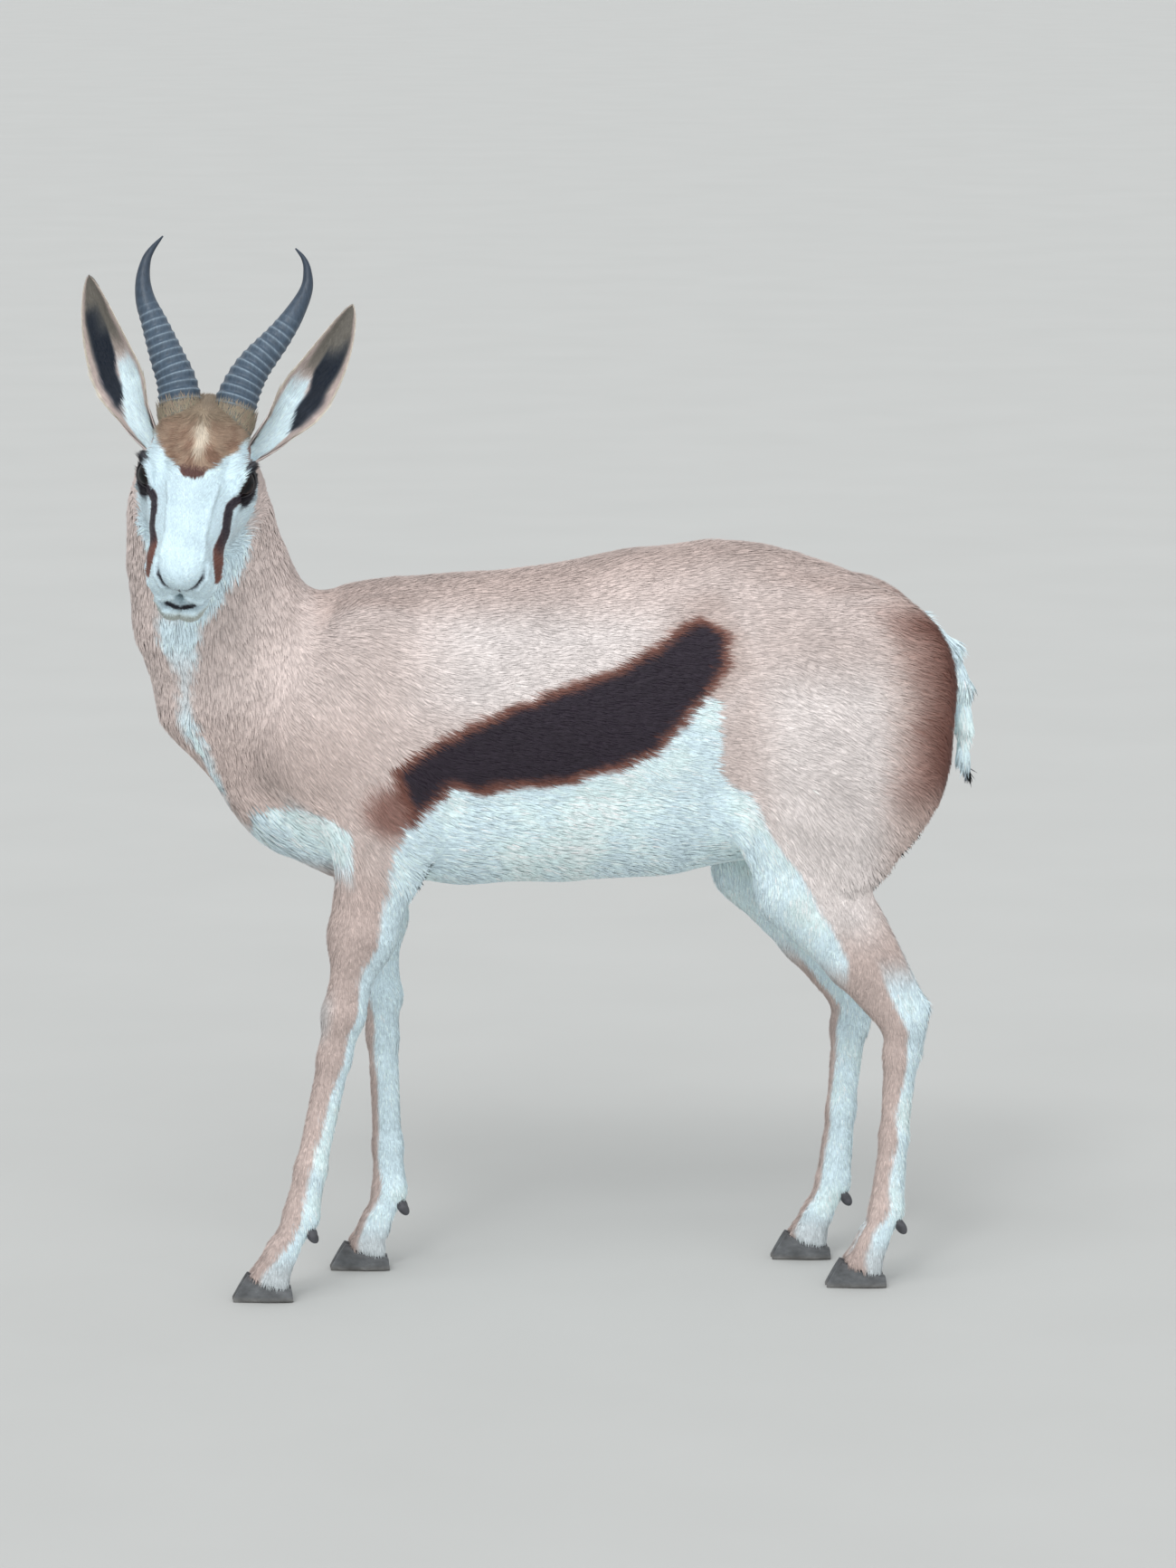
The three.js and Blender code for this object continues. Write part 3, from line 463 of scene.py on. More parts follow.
def skin_field(x, y, z):
    u, v, w = to_head(np.stack([x, y, z], axis=-1)).T
    head = skull(u, v, w)
    total = trunk(x, y, z)
    for field, k in body_fields[1:]:
        total = blend(total, field(x, y, z), k)
    total = blend(total, head, 18) + coat_depth(x, z, ramp(head, 16, 4))
    total = blend(total, tail_core(x, y, z), 10)
    near = head < 30
    if near.any():
        total[near] = face_details(total[near], u[near], v[near], w[near])
    for leg, (joints, side, _) in LEGS.items():
        foot = (z < 90) & (np.abs(x - joints[3][0]) < 75) & (y * side > 0)
        if foot.any():
            total[foot] = carve(total[foot], coronet_plane(leg, x[foot], z[foot]), 3)
    return total


def stretches(low, *parts):
    """Grid lines from low, in stretches (to, cell)."""
    lines = [np.array([float(low)])]
    for to, cell in parts:
        start = lines[-1][-1]
        count = max(1, round((to - start) / cell))
        lines.append(start + (to - start) * np.arange(1, count + 1) / count)
    return np.concatenate(lines)


def field_on_grid(field, lines, block=4, reach=34.0):
    """The field at grid points near its zero surface, and a coarse value elsewhere."""
    counts = [len(line) for line in lines]
    coarse_lines = [line[np.minimum(np.arange(block // 2, n + block, block), n - 1)]
                    for line, n in zip(lines, counts)]
    points = np.stack(np.meshgrid(*coarse_lines, indexing="ij"), axis=-1).reshape(-1, 3)
    coarse = field(*points.T).reshape([len(line) for line in coarse_lines])
    where = [np.minimum(np.arange(n) // block, len(c) - 1) for n, c in zip(counts, coarse_lines)]
    value = coarse[np.ix_(*where)].astype(np.float32)
    near = np.argwhere(np.abs(value) < reach)
    for part in np.array_split(near, max(1, len(near) // 400000)):
        index = tuple(part.T)
        at = [line[i] for line, i in zip(lines, index)]
        value[index] = field(*at)
    return value


CORNERS = np.array([(i, j, k) for i in (0, 1) for j in (0, 1) for k in (0, 1)])


def surface_net(field, lines):
    """A closed mesh of quads: one point in each grid cell that the surface crosses."""
    value = field_on_grid(field, lines)
    inside = value < 0
    filled = np.zeros([n - 1 for n in inside.shape], np.int8)
    for i, j, k in CORNERS:
        filled += inside[i:i + filled.shape[0], j:j + filled.shape[1], k:k + filled.shape[2]]
    cells = np.argwhere((filled > 0) & (filled < 8))
    total = np.zeros((len(cells), 3))
    crossings = np.zeros(len(cells))
    for corner in CORNERS:
        for axis in range(3):
            if corner[axis]:
                continue
            far = corner.copy()
            far[axis] = 1
            p, q = cells + corner, cells + far
            a, b = value[tuple(p.T)], value[tuple(q.T)]
            crossed = (a < 0) != (b < 0)
            t = np.where(crossed, a / np.where(crossed, a - b, 1), 0)
            for n in range(3):
                place = mix(lines[n][p[:, n]], lines[n][q[:, n]], t)
                total[:, n] += np.where(crossed, place, 0)
            crossings += crossed
    points = settle(field, total / crossings[:, None], 2, 2.5)
    number = np.full(filled.shape, -1, np.int32)
    number[tuple(cells.T)] = np.arange(len(cells))
    faces = []
    for axis in range(3):
        first, second = (axis + 1) % 3, (axis + 2) % 3
        size = list(inside.shape)
        size[axis] -= 1
        low = inside[tuple(slice(0, n) for n in size)]
        high = inside[tuple(slice(1 if n == axis else 0, None) for n in range(3))]
        edges = np.argwhere(low != high)
        ring = []
        for p, q in ((0, 0), (1, 0), (1, 1), (0, 1)):
            cell = edges.copy()
            cell[:, first] -= p
            cell[:, second] -= q
            ring.append(number[tuple(cell.T)])
        ring = np.stack(ring, axis=-1)
        turned = ~low[tuple(edges.T)]
        ring[turned] = ring[turned][:, ::-1]
        faces.append(ring)
    return points, np.concatenate(faces)


grid_lines = [
    stretches(-484, (-460, 6), (-262, 2.1), (392, 7.2), (486, 3.2)),
    stretches(-246, (-160, 1.7), (-24, 2.4), (-14, 5), (14, 3.4), (20, 5), (128, 7)),
    stretches(4, (44, 4), (524, 7.4), (700, 6.4), (722, 3), (944, 2.1), (972, 6)),
]
skin_points, skin_faces = surface_net(skin_field, grid_lines)
skin_faces = outward(skin_points, skin_faces)


# Markings: colours are written as they should look in a picture, 0 to 255, and kept as linear light

TAN = np.array([212.0, 196, 190])
TAN_LIGHT = np.array([232.0, 224, 221])
TAN_DEEP = np.array([192.0, 169, 160])
BROWN = np.array([112.0, 72, 62])
RUST = np.array([146.0, 108, 88])
DARK = np.array([44.0, 36, 46])
WHITE = np.array([226.0, 247, 255])
FACE_WHITE = np.array([212.0, 234, 243])
CREAM = np.array([232.0, 224, 206])
OLIVE = np.array([150.0, 144, 122])
GREY_SKIN = np.array([116.0, 126, 132])
BLACK_SKIN = np.array([26.0, 24, 30])
HORN_LOW = np.array([66.0, 82, 98])
HORN_HIGH = np.array([48.0, 60, 74])
HORN_EDGE = np.array([142.0, 158, 170])
EAR_DARK = np.array([28.0, 36, 48])


def linear(colour):
    share = np.clip(np.asarray(colour, float) / 255, 0, 1)
    return np.where(share <= 0.04045, share / 12.92, ((share + 0.055) / 1.055) ** 2.4)


def ripple(points, size, seed):
    """A smooth, repeatable wandering between about -1 and 1 whose bumps are `size` across."""
    draw = np.random.default_rng(seed)
    total = np.zeros(len(points))
    for _ in range(7):
        direction = unit(draw.normal(size=3)) * draw.uniform(0.6, 1.6) * 2 * math.pi / size / 2
        total += np.sin(points @ direction + draw.uniform(0, 6.3))
    return total / 3.2


def depth_inside(x, z, outline):
    """How far places lie inside a closed outline in the side view; negative outside it."""
    nearest = np.full(len(x), 1e9)
    inside = np.zeros(len(x), bool)
    for (ax, az), (bx, bz) in zip(outline, outline[1:] + outline[:1]):
        ex, ez = bx - ax, bz - az
        t = np.clip(((x - ax) * ex + (z - az) * ez) / (ex * ex + ez * ez), 0, 1)
        nearest = np.minimum(nearest, np.hypot(x - ax - t * ex, z - az - t * ez))
        spans = (az > z) != (bz > z)
        inside ^= spans & (x < ax + ex * (z - az) / (ez or 1e-9))
    return np.where(inside, nearest, -nearest)


def curve(value, *knots):
    """A broken line through knots (value, result)."""
    return np.interp(value, [k[0] for k in knots], [k[1] for k in knots])


STRIPE_TOP = [(-154, 557), (-114, 582), (-61, 609), (5, 633), (58, 651), (112, 681), (150, 706), (168, 712)]
STRIPE_BACK = [(186, 692), (186, 663)]
STRIPE_BOTTOM = [(160, 630), (139, 606), (114, 579), (72, 557), (19, 547), (-29, 547), (-74, 535),
                 (-101, 541), (-114, 528), (-141, 504)]
THIGH_EDGE = [
    (182, 553), (212, 534), (228, 506), (239, 483), (262, 462), (274, 446), (300, 400), (322, 350),
]
STRIPE = STRIPE_TOP + STRIPE_BACK + STRIPE_BOTTOM
BELLY_LOW = [(322, 300), (-250, 300), (-190, 400), (-164, 440)]
BELLY = STRIPE_BOTTOM[::-1] + [(181, 625)] + THIGH_EDGE + BELLY_LOW
THIGH = THIGH_EDGE + [(322, 300), (480, 300), (480, 560), (182, 560)]
BRISKET_PATCH = [(-300, 514), (-262, 524), (-215, 512), (-196, 496), (-185, 380), (-300, 380)]


def paint(colour, over, share):
    return colour + (over - colour) * np.clip(share, 0, 1)[:, None]


def leg_place(points):
    """For each point, which leg it is on, how far back and how far out across it, from -1 to 1."""
    x, y, z = points.T
    back = np.zeros(len(x))
    out = np.zeros(len(x))
    which = np.zeros(len(x), int)
    for number, (joints, side, depth) in enumerate(LEGS.values()):
        heights = [j[2] for j in joints][::-1]
        middle_x = np.interp(z, heights, [j[0] for j in joints][::-1])
        middle_y = np.interp(z, heights, [j[1] for j in joints][::-1])
        radius = curve(z, (30, 30), (60, 22), (250, 21), (300, 26), (380, 38), (460, 60))
        mine = (y * side > 0) & ((x < FORE_END) == (depth > 0))
        back[mine] = ((x - middle_x) / radius)[mine]
        out[mine] = (side * (y - middle_y) / (radius * 0.75))[mine]
        which[mine] = number
    return which, back, out


def body_colour(points, normals):
    x, y, z = points.T
    ny, nz = normals[:, 1] * np.sign(y), normals[:, 2]
    wander = ripple(points, 60, 3) * 5 + ripple(points, 14, 4) * 2.5
    colour = np.tile(TAN, (len(x), 1))
    # Painted highlight: the upper flank above the stripe and the side of the haunch are painted paler, as
    # where light falls on them.
    light = ramp(z, 585, 640) * ramp(z, 735, 690) * ramp(x, -170, -60) * ramp(x, 240, 120)
    light = np.maximum(light, ramp(x, 200, 260) * ramp(z, 690, 620) * ramp(x, 400, 340))
    colour = paint(colour, TAN_LIGHT, light * 0.75)
    top = ramp(nz, 0.55, 0.95) * ramp(z, 650, 700)
    colour = paint(colour, TAN_DEEP, top * 0.55)
    low_chest = ramp(z, 660, 560) * ramp(x, -120, -230)
    colour = paint(colour, TAN_DEEP, low_chest * 0.35)
    colour = paint(colour, TAN_DEEP, ramp(x, 330, 400) * 0.8)
    side_z = z + wander
    stripe = depth_inside(x + wander, side_z, STRIPE)
    colour = paint(colour, TAN_DEEP * 0.92, ramp(stripe, -34, -4) * 0.6 * ramp(x, 60, 190))
    # Brown behind the elbow: the front end of the flank stripe, and painted shade in the crease behind the
    # elbow.
    elbow = np.hypot((x + 148) / 34, (z - 520) / 26)
    colour = paint(colour, BROWN, ramp(elbow, 1.5, 0.5) * 0.75)
    belly = depth_inside(x, side_z, BELLY)
    inner = ramp(ny, 0.1, -0.35) * ramp(z, 520, 500)
    under = ramp(nz, -0.5, -0.75) * ramp(z, 560, 520)
    brisket = depth_inside(x, z + wander * 0.5, BRISKET_PATCH)
    white = np.maximum.reduce([ramp(belly, -2.5, 2.5), inner, under, ramp(brisket, -2, 3)])
    colour = paint(colour, WHITE, white)
    colour = paint(colour, BROWN, ramp(stripe, -9, 0))
    colour = paint(colour, DARK, ramp(stripe, 0, 9))
    return colour


def leg_colour(points):
    x, _, z = points.T
    which, back, out = leg_place(points)
    wander = ripple(points, 30, 5) * 0.12
    share_out = np.clip((out + 1) / 2, 0, 1)
    front_edge = curve(z, (28, -0.5), (68, 0.0), (138, 0.05), (262, 0.4), (384, 0.45), (450, 0.35))
    edge = mix(-0.55, front_edge, share_out)
    brown = ramp(back + wander, edge + 0.1, edge - 0.1)
    strip = mix(-0.8, curve(z, (60, -0.1), (270, 0.1), (340, 0.6)), share_out)
    hind_low = ramp(back + wander, strip + 0.12, strip - 0.12)
    hind_high = ramp(depth_inside(x, z, THIGH), -3, 3) * ramp(out, -0.2, 0.2)
    hind = mix(hind_low, hind_high, ramp(z, 310, 360))
    tan_share = np.where(which < 2, brown, hind)
    tone = mix(TAN_DEEP, TAN, 0.55)
    colour = paint(np.tile(WHITE, (len(x), 1)), tone, tan_share)
    knee = ramp(np.abs(z - 300), 36, 10) * ramp(back, -0.3, -0.9) * (which < 2)
    colour = paint(colour, WHITE, knee * 0.35)
    foot = ramp(z, 60, 30)
    return paint(colour, TAN_DEEP * 0.8, foot * 0.35)


def rump_colour(colour, points):
    """The white rump patch and tail, with the brown band round them."""
    x, y, z = points.T
    wander = ripple(points, 40, 6) * 5
    half = curve(z, (470, 40), (560, 46), (640, 42), (700, 20), (722, 6), (740, 0))
    inside = half + wander - np.abs(y)
    behind = ramp(x, 330, 372)
    rear = curve(z, (480, 392), (540, 420), (580, 437), (632, 441), (680, 430), (705, 410), (722, 385))
    brown = ramp(x - rear + wander, -92, -6) * ramp(z, 480, 560) * ramp(z, 735, 695)
    colour = paint(colour, BROWN * 0.95, brown ** 1.5)
    colour = paint(colour, WHITE, ramp(inside, -5, 4) * behind * ramp(z, 738, 722))
    low = ramp(z, 540, 490) * behind
    colour = paint(colour, CREAM, low * ramp(inside, -30, 0) * 0.8)
    on_tail = ramp(tail_core(x, y, z), 12, 4) * ramp(x, 400, 425)
    colour = paint(colour, WHITE, on_tail)
    return paint(colour, DARK, on_tail * ramp(z, 548, 536))


def distance_to_line(u, v, w, knots):
    """Distance from places to a broken line of points."""
    field = joined(chain([(*p, 0.0) for p in knots]), 0.01)
    return field(u, v, w)


FACE_STRIPE = on_skull([
    (26, 45, 2), (42, 40, 5), (66, 38.5, -4), (86, 36, -8), (104, 35, -12), (118, 35, -22),
])


def head_colour(points):
    u, v, w = to_head(points).T
    side = np.abs(v)
    wander = ripple(points, 16, 7) * 2.2
    colour = np.tile(FACE_WHITE, (len(u), 1))
    tan = ramp(u + 0.72 * w + wander * 2.5, -52, -60)
    colour = paint(colour, TAN, tan)
    crown_half = curve(u, (-60, 47), (-30, 42), (-10, 34), (4, 23), (17, 14), (28, 10.5), (33, 7), (38, -5))
    crown = ramp(crown_half + wander - side, -1.5, 2) * ramp(w, 8, 18)
    streaks = ramp(ripple(points * np.array([1, 1, 0.4]), 7, 18), -0.6, 0.9)
    colour = paint(colour, mix(mix(RUST, OLIVE, 0.3), CREAM, 0.2), crown)
    colour = paint(colour, RUST * 0.85, crown * streaks * 0.7)
    colour = paint(colour, mix(BROWN, DARK, 0.4), crown * ramp(u + wander, 14, 29) * 0.9)
    cream = ramp(np.hypot((u + 18) / 26, (v - 1.5) / 7) + wander * 0.1, 1.15, 0.35)
    colour = paint(colour, CREAM, cream * crown * 0.65)
    poll = ramp(u + wander, -26, -42) * ramp(w, 10, 22)
    colour = paint(colour, mix(OLIVE, BROWN, 0.25), poll * 0.85)
    temple = ramp(np.abs(side - 52 + wander * 0.5), 7, 3)
    temple = temple * ramp(u, 8, -6) * ramp(u, -60, -48) * ramp(w, -6, 4)
    colour = paint(colour, BROWN, temple * 0.85)
    along, across, out = eye_axes(u, v, w)
    round_eye = np.hypot(along / (ALMOND_HALF + 1), across / (ALMOND_TOP + 1)) + np.where(out < 0, 9, 0)
    below = ramp(round_eye, 1.8, 1.35) * ramp(across, 2, -6)
    colour = paint(colour, GREY_SKIN, below * 0.7)
    colour = paint(colour, BLACK_SKIN, ramp(round_eye - 0.18 * ramp(along, 0, -12), 1.3, 1.12))
    line = distance_to_line(u, side, w, FACE_STRIPE)
    wide = curve(u, (24, 5.5), (42, 7), (66, 10), (95, 10.5), (112, 9), (122, 5))
    stripe = ramp(line - wide + wander * 0.35, 1.5, -1.5)
    colour = paint(colour, BROWN, stripe)
    colour = paint(colour, DARK, stripe * ramp(u + wander * 3, 98, 70))
    colour = paint(colour, GREY_SKIN, ramp(nostril_cut(u, v, w), 4, 0) * 0.3)
    colour = paint(colour, BLACK_SKIN, ramp(nostril_cut(u, v, w), 1.0, 0.2))
    tip = np.hypot(side / 6, (w + 16) / 3) + ramp(u, 146, 140) * 9
    colour = paint(colour, BLACK_SKIN, ramp(tip, 1.2, 0.8))
    colour = paint(colour, BLACK_SKIN, ramp(philtrum_cut(u, v, w), 1.2, 0.3))
    lips = ramp(lip_cut(u, v, w), 7, 1.5) * ramp(u, 100, 118)
    colour = paint(colour, mix(GREY_SKIN, WHITE, 0.4), lips * 0.4)
    colour = paint(colour, BLACK_SKIN, ramp(lip_cut(u, v, w), 1.7, 0.6) * ramp(u, 104, 122) * 0.9)
    # Painted shade: the underside of the chin is painted olive-grey.
    chin_shade = ramp(u, 96, 116) * ramp(w, -50, -57)
    colour = paint(colour, mix(OLIVE, WHITE, 0.35), chin_shade * 0.7)
    return colour


def throat_white(points):
    """The share of white on the throat, which narrows to a stripe down the front of the neck."""
    x, y, z = points.T
    wander = ripple(points, 34, 8) * 3 + ripple(points, 10, 9) * 2
    middle_x = curve(z, (541, -240), (573, -255), (600, -270), (650, -292), (715, -323), (775, -338))
    middle_y = curve(z, (650, 0), (715, -6), (775, -16))
    angle = np.degrees(np.arctan2(middle_y - y, middle_x - x))
    middle = curve(z, (505, 0), (541, 10), (573, 22), (603, 27), (632, 32), (661, 38), (690, 45), (720, 56),
                   (740, 65), (760, 70))
    half = curve(z, (505, 3), (541, 5), (661, 5), (681, 9), (700, 15), (720, 22), (740, 32), (760, 43),
                 (790, 60))
    band = ramp(half - np.abs(angle - middle) + wander, -4, 5) * ramp(z, 505, 535)
    band = band * (1 - 0.45 * ramp(z, 700, 660) * ramp(z, 600, 640))
    u, _, w = to_head(points).T
    return band * np.maximum(ramp(z, 740, 710), ramp(u + 0.72 * w + wander, -58, -48)) * ramp(x, -200, -230)


def marking(points, normals):
    """The coat's colour at places on the body, 0 to 255."""
    x, _, z = points.T
    head = ramp(skull(*to_head(points).T), 26, 14)
    body = paint(body_colour(points, normals), WHITE, throat_white(points))
    body = rump_colour(body, points)
    legs = ramp(z, 470, 435) * (x < FORE_END) + ramp(z, 400, 350) * (x >= FORE_END)
    body = paint(body, leg_colour(points), legs)
    colour = paint(body, head_colour(points), head)
    shade = 1 + 0.03 * ripple(points, 90, 11) + 0.02 * ripple(points, 22, 12)
    return np.clip(colour * shade[:, None], 0, 255)


# The lie of the hair

def long_patch(x, y):
    """The share of each place in the rump's patch of long hair."""
    return ramp(x, 385, 412) * ramp(np.abs(y), 62, 44)


def hair_lie(points, normals):
    """The way the hair points at places on the body, along the skin."""
    x, y, z = points.T
    count = len(x)
    lie = np.tile([1.0, 0.0, -0.16], (count, 1))
    shoulder_share = ramp(x, -60, -190) * ramp(z, 730, 620)
    lie = paint(lie, np.array([0.62, 0.0, -0.8]), shoulder_share)
    lie = paint(lie, np.array([0.9, 0.0, -0.42]), ramp(x, 200, 280) * ramp(z, 720, 640))
    lie = paint(lie, np.array([0.5, 0.0, -0.9]), ramp(x, 190, 240) * ramp(z, 560, 470))
    neck_share = ramp(neck(x, y, z), 30, 4) * ramp(x, -210, -270)
    lie = paint(lie, np.array([0.12, 0.0, -1.0]), neck_share)
    belly = ramp(normals[:, 2], -0.2, -0.7) * ramp(z, 560, 520)
    lie = paint(lie, np.array([1.0, 0.0, -0.1]), belly)
    _, back, _ = leg_place(points)
    legs = ramp(z, 470, 400)
    along_leg = np.stack([0.05 + 0.1 * back, np.zeros(count), -np.ones(count)], axis=-1)
    lie = mix(lie, along_leg, legs[:, None])
    lie = paint(lie, np.array([0.1, 0.0, -1.0]), ramp(normals[:, 0], 0.45, 0.85) * ramp(x, 300, 360))
    lie = paint(lie, np.array([0.35, 0.0, -0.93]), long_patch(x, y))
    lie = paint(lie, np.array([0.04, 0.0, -1.0]), ramp(tail_core(x, y, z), 12, 3) * ramp(x, 425, 440))
    u, v, w = to_head(points).T
    aside = 0.25 * np.sign(v) * ramp(np.abs(v), 4, 30)
    on_face = np.stack([-np.ones(count), aside, np.full(count, -0.25)], axis=-1)
    crown = ramp(w, 16, 26) * ramp(u, 34, 10)
    whorl = np.stack([0.9 - 0.05 * np.abs(v), 0.055 * v, np.zeros(count)], axis=-1)
    on_face = mix(on_face, whorl, (crown * ramp(u, -55, -35))[:, None])
    head = ramp(skull(u, v, w), 24, 8)
    lie = mix(lie, on_face @ HEAD_AXES.T, head[:, None])
    lie = lie - normals * (lie * normals).sum(1, keepdims=True)
    return unit(lie)


# The coat

def body_regions(points, normals):
    """Shares of each point in the head, legs, neck, belly, rump and tail."""
    x, y, z = points.T
    u, v, w = to_head(points).T
    head = ramp(skull(u, v, w), 10, 3)
    legs = ramp(z, 450, 390)
    throat = ramp(neck(x, y, z), 26, 4) * ramp(x, -230, -280) * (1 - head)
    belly = ramp(normals[:, 2], -0.05, -0.5) * ramp(z, 560, 520) * (1 - legs)
    tail = ramp(tail_core(x, y, z), 10, 3) * ramp(x, 408, 424)
    rump = long_patch(x, y) * (1 - tail)
    return dict(head=head, legs=legs, neck=throat, belly=belly, rump=rump, tail=tail)


def by_region(regions, body, **others):
    """A size that changes smoothly from the body's own value to those of other regions."""
    value = float(body)
    for name in ("belly", "neck", "rump", "tail", "legs", "head"):
        if name in others:
            value = mix(value, others[name], regions[name])
    return value


def scatter_roots(count):
    """Roots spread over the skin, closer where the hair is finer: points and normals."""
    triangles = np.concatenate([skin_faces[:, [0, 1, 2]], skin_faces[:, [0, 2, 3]]])
    corners = skin_points[triangles]
    cross = np.cross(corners[:, 1] - corners[:, 0], corners[:, 2] - corners[:, 0])
    area = np.linalg.norm(cross, axis=1) / 2
    middle = corners.mean(1)
    regions = body_regions(middle, unit(cross))
    density = by_region(regions, 1.0, belly=0.62, neck=0.78, rump=0.7, tail=2.6, legs=1.3, head=3.2)
    furred = ramp(eye_opening(*to_head(middle).T), 0.5, 2.5)
    for cut in (nostril_cut, lip_cut):
        furred = furred * ramp(cut(*to_head(middle).T), 0.2, 1.2)
    weight = np.cumsum(area * density * furred)
    chosen = np.searchsorted(weight, random.random(count) * weight[-1])
    first, second = random.random((2, count))
    folded = first + second > 1
    first[folded], second[folded] = 1 - first[folded], 1 - second[folded]
    picked = corners[chosen]
    shares = np.stack([1 - first - second, first, second], axis=-1)
    roots = (picked * shares[:, :, None]).sum(1)
    vertex_normals = np.zeros_like(skin_points)
    for corner in range(3):
        np.add.at(vertex_normals, triangles[:, corner], cross)
    normals = unit((vertex_normals[triangles[chosen]] * shares[:, :, None]).sum(1))
    return roots, normals


# One tuft: rings of three points, left, ridge and right, from the root to a pointed tip. The
# numbers are shares of its length, width and thickness.
SHORT_RINGS = [(0.0, 1.0, 0.5)]
LONG_RINGS = [(0.0, 0.8, 0.5), (0.5, 0.9, 0.7)]


def tapered_faces(rings):
    """Triangles of a closed spike: rings of three points (left, ridge, right) and then its tip."""
    faces = [(0, 1, 2)]
    for ring in range(rings - 1):
        for i in range(3):
            a, b = 3 * ring + i, 3 * ring + (i + 1) % 3
            faces += [(b, a, b + 3), (b + 3, a, a + 3)]
    last = 3 * (rings - 1)
    return faces + [(last + (i + 1) % 3, last + i, last + 3) for i in range(3)]


def many_spikes(points, rings):
    """Points listed place by place for all spikes, spike by spike, with their faces and their number."""
    points = np.stack(points, axis=1)
    count, sides, _ = points.shape
    faces = np.arange(count)[:, None, None] * sides + np.array(tapered_faces(rings))[None]
    return points.reshape(-1, 3), faces.reshape(-1, 3), sides


def tuft_mesh(roots, normals, lie, length, width, lift, droop, rings):
    """Closed, thin, tapered tufts: their points, faces, and normals rounded across each tuft."""
    across = np.cross(normals, lie)
    points = []
    shading = []

    def place(share):
        rise = lift * share - droop * share * share
        return roots + lie * (length * share)[:, None] + normals * rise[:, None]

    for share, wide, thick in rings:
        centre = place(share)
        half = (width * wide / 2)[:, None]
        tall = (width * 0.28 * thick)[:, None]
        points += [centre - across * half - normals * 0.25, centre + lie * half * 0.6 + normals * tall,
                   centre + across * half - normals * 0.25]
        shading += [unit(normals - across * 0.42), normals, unit(normals + across * 0.42)]
    points.append(place(1))
    shading.append(unit(normals + lie * 0.12))
    points, faces, sides = many_spikes(points, len(rings))
    return points, faces, np.stack(shading, axis=1).reshape(-1, 3), sides


BAKE_PATCH = 0.003  # the width of one tuft's place on the OFBake map


def unwrap(roots, centre, axis, up):
    """Roots laid flat round an axis: how far along it, and the angle round it, both 0 to 1."""
    axis = unit(axis)
    up = unit(np.asarray(up, float) - axis * (np.asarray(up, float) @ axis))
    aside = np.cross(axis, up)
    away = roots - np.asarray(centre, float)
    flat = np.stack([away @ axis, np.arctan2(away @ aside, away @ up)], axis=-1)
    low, high = flat.min(0), flat.max(0)
    return 0.02 + 0.96 * (flat - low) / np.maximum(high - low, 1e-6)


def add_bake_map(piece, places, sides):
    """The OFBake map: each tuft is one small patch at its root's place on the unwrapped skin."""
    layer = piece.data.uv_layers.new(name="OFBake")
    angle = circle(sides)
    ring = np.stack([np.cos(angle), np.sin(angle)], axis=-1) * BAKE_PATCH / 2
    vertex_uv = (places[:, None, :] + ring[None]).reshape(-1, 2)
    corner = np.empty(len(piece.data.loops), np.int32)
    piece.data.loops.foreach_get("vertex_index", corner)
    layer.data.foreach_set("uv", vertex_uv[corner].astype(np.float32).ravel())


# Materials

def new_material(name, roughness, specular=0.35, sheen=0.0, coat=0.0):
    """A material whose plain numbers sit on its shader."""
    made = bpy.data.materials.new(name)
    made.use_nodes = True
    shader = made.node_tree.nodes["Principled BSDF"]
    shader.inputs["Roughness"].default_value = roughness
    shader.inputs["Specular IOR Level"].default_value = specular
    shader.inputs["Sheen Weight"].default_value = sheen
    shader.inputs["Coat Weight"].default_value = coat
    return made, made.node_tree.nodes, made.node_tree.links, shader


def noise(nodes, links, scale, detail=3.0, stretch=(1, 1, 1)):
    """A noise texture in object space; stretch is how much finer it is along each axis."""
    place = nodes.new("ShaderNodeTexCoord")
    mapping = nodes.new("ShaderNodeMapping")
    mapping.inputs["Scale"].default_value = stretch
    texture = nodes.new("ShaderNodeTexNoise")
    texture.inputs["Scale"].default_value = scale
    texture.inputs["Detail"].default_value = detail
    links.new(place.outputs["Object"], mapping.inputs["Vector"])
    links.new(mapping.outputs["Vector"], texture.inputs["Vector"])
    return texture


def varied(nodes, links, colour, texture, low, high):
    """The colour made lighter and darker by a texture, between two shares."""
    share = nodes.new("ShaderNodeMapRange")
    share.inputs["From Min"].default_value = 0.3
    share.inputs["From Max"].default_value = 0.7
    share.inputs["To Min"].default_value = low
    share.inputs["To Max"].default_value = high
    links.new(texture.outputs["Fac"], share.inputs["Value"])
    scale = nodes.new("ShaderNodeVectorMath")
    scale.operation = "SCALE"
    links.new(colour, scale.inputs[0])
    links.new(share.outputs["Result"], scale.inputs["Scale"])
    return scale.outputs["Vector"]


def bump(nodes, links, shader, texture, strength, distance):
    node = nodes.new("ShaderNodeBump")
    node.inputs["Strength"].default_value = strength
    node.inputs["Distance"].default_value = distance
    links.new(texture.outputs["Fac"], node.inputs["Height"])
    links.new(node.outputs["Normal"], shader.inputs["Normal"])


def marked_material(name, roughness, scale, low, high, bump_depth=0.0, stretch=(1, 1, 1), **finish):
    """A material whose colour is the mesh's own markings, varied by fine noise."""
    made, nodes, links, shader = new_material(name, roughness, **finish)
    marks = nodes.new("ShaderNodeAttribute")
    marks.attribute_name = "marking"
    texture = noise(nodes, links, scale, stretch=stretch)
    links.new(varied(nodes, links, marks.outputs["Color"], texture, low, high), shader.inputs["Base Color"])
    if bump_depth:
        bump(nodes, links, shader, texture, 0.6, bump_depth)
    return made


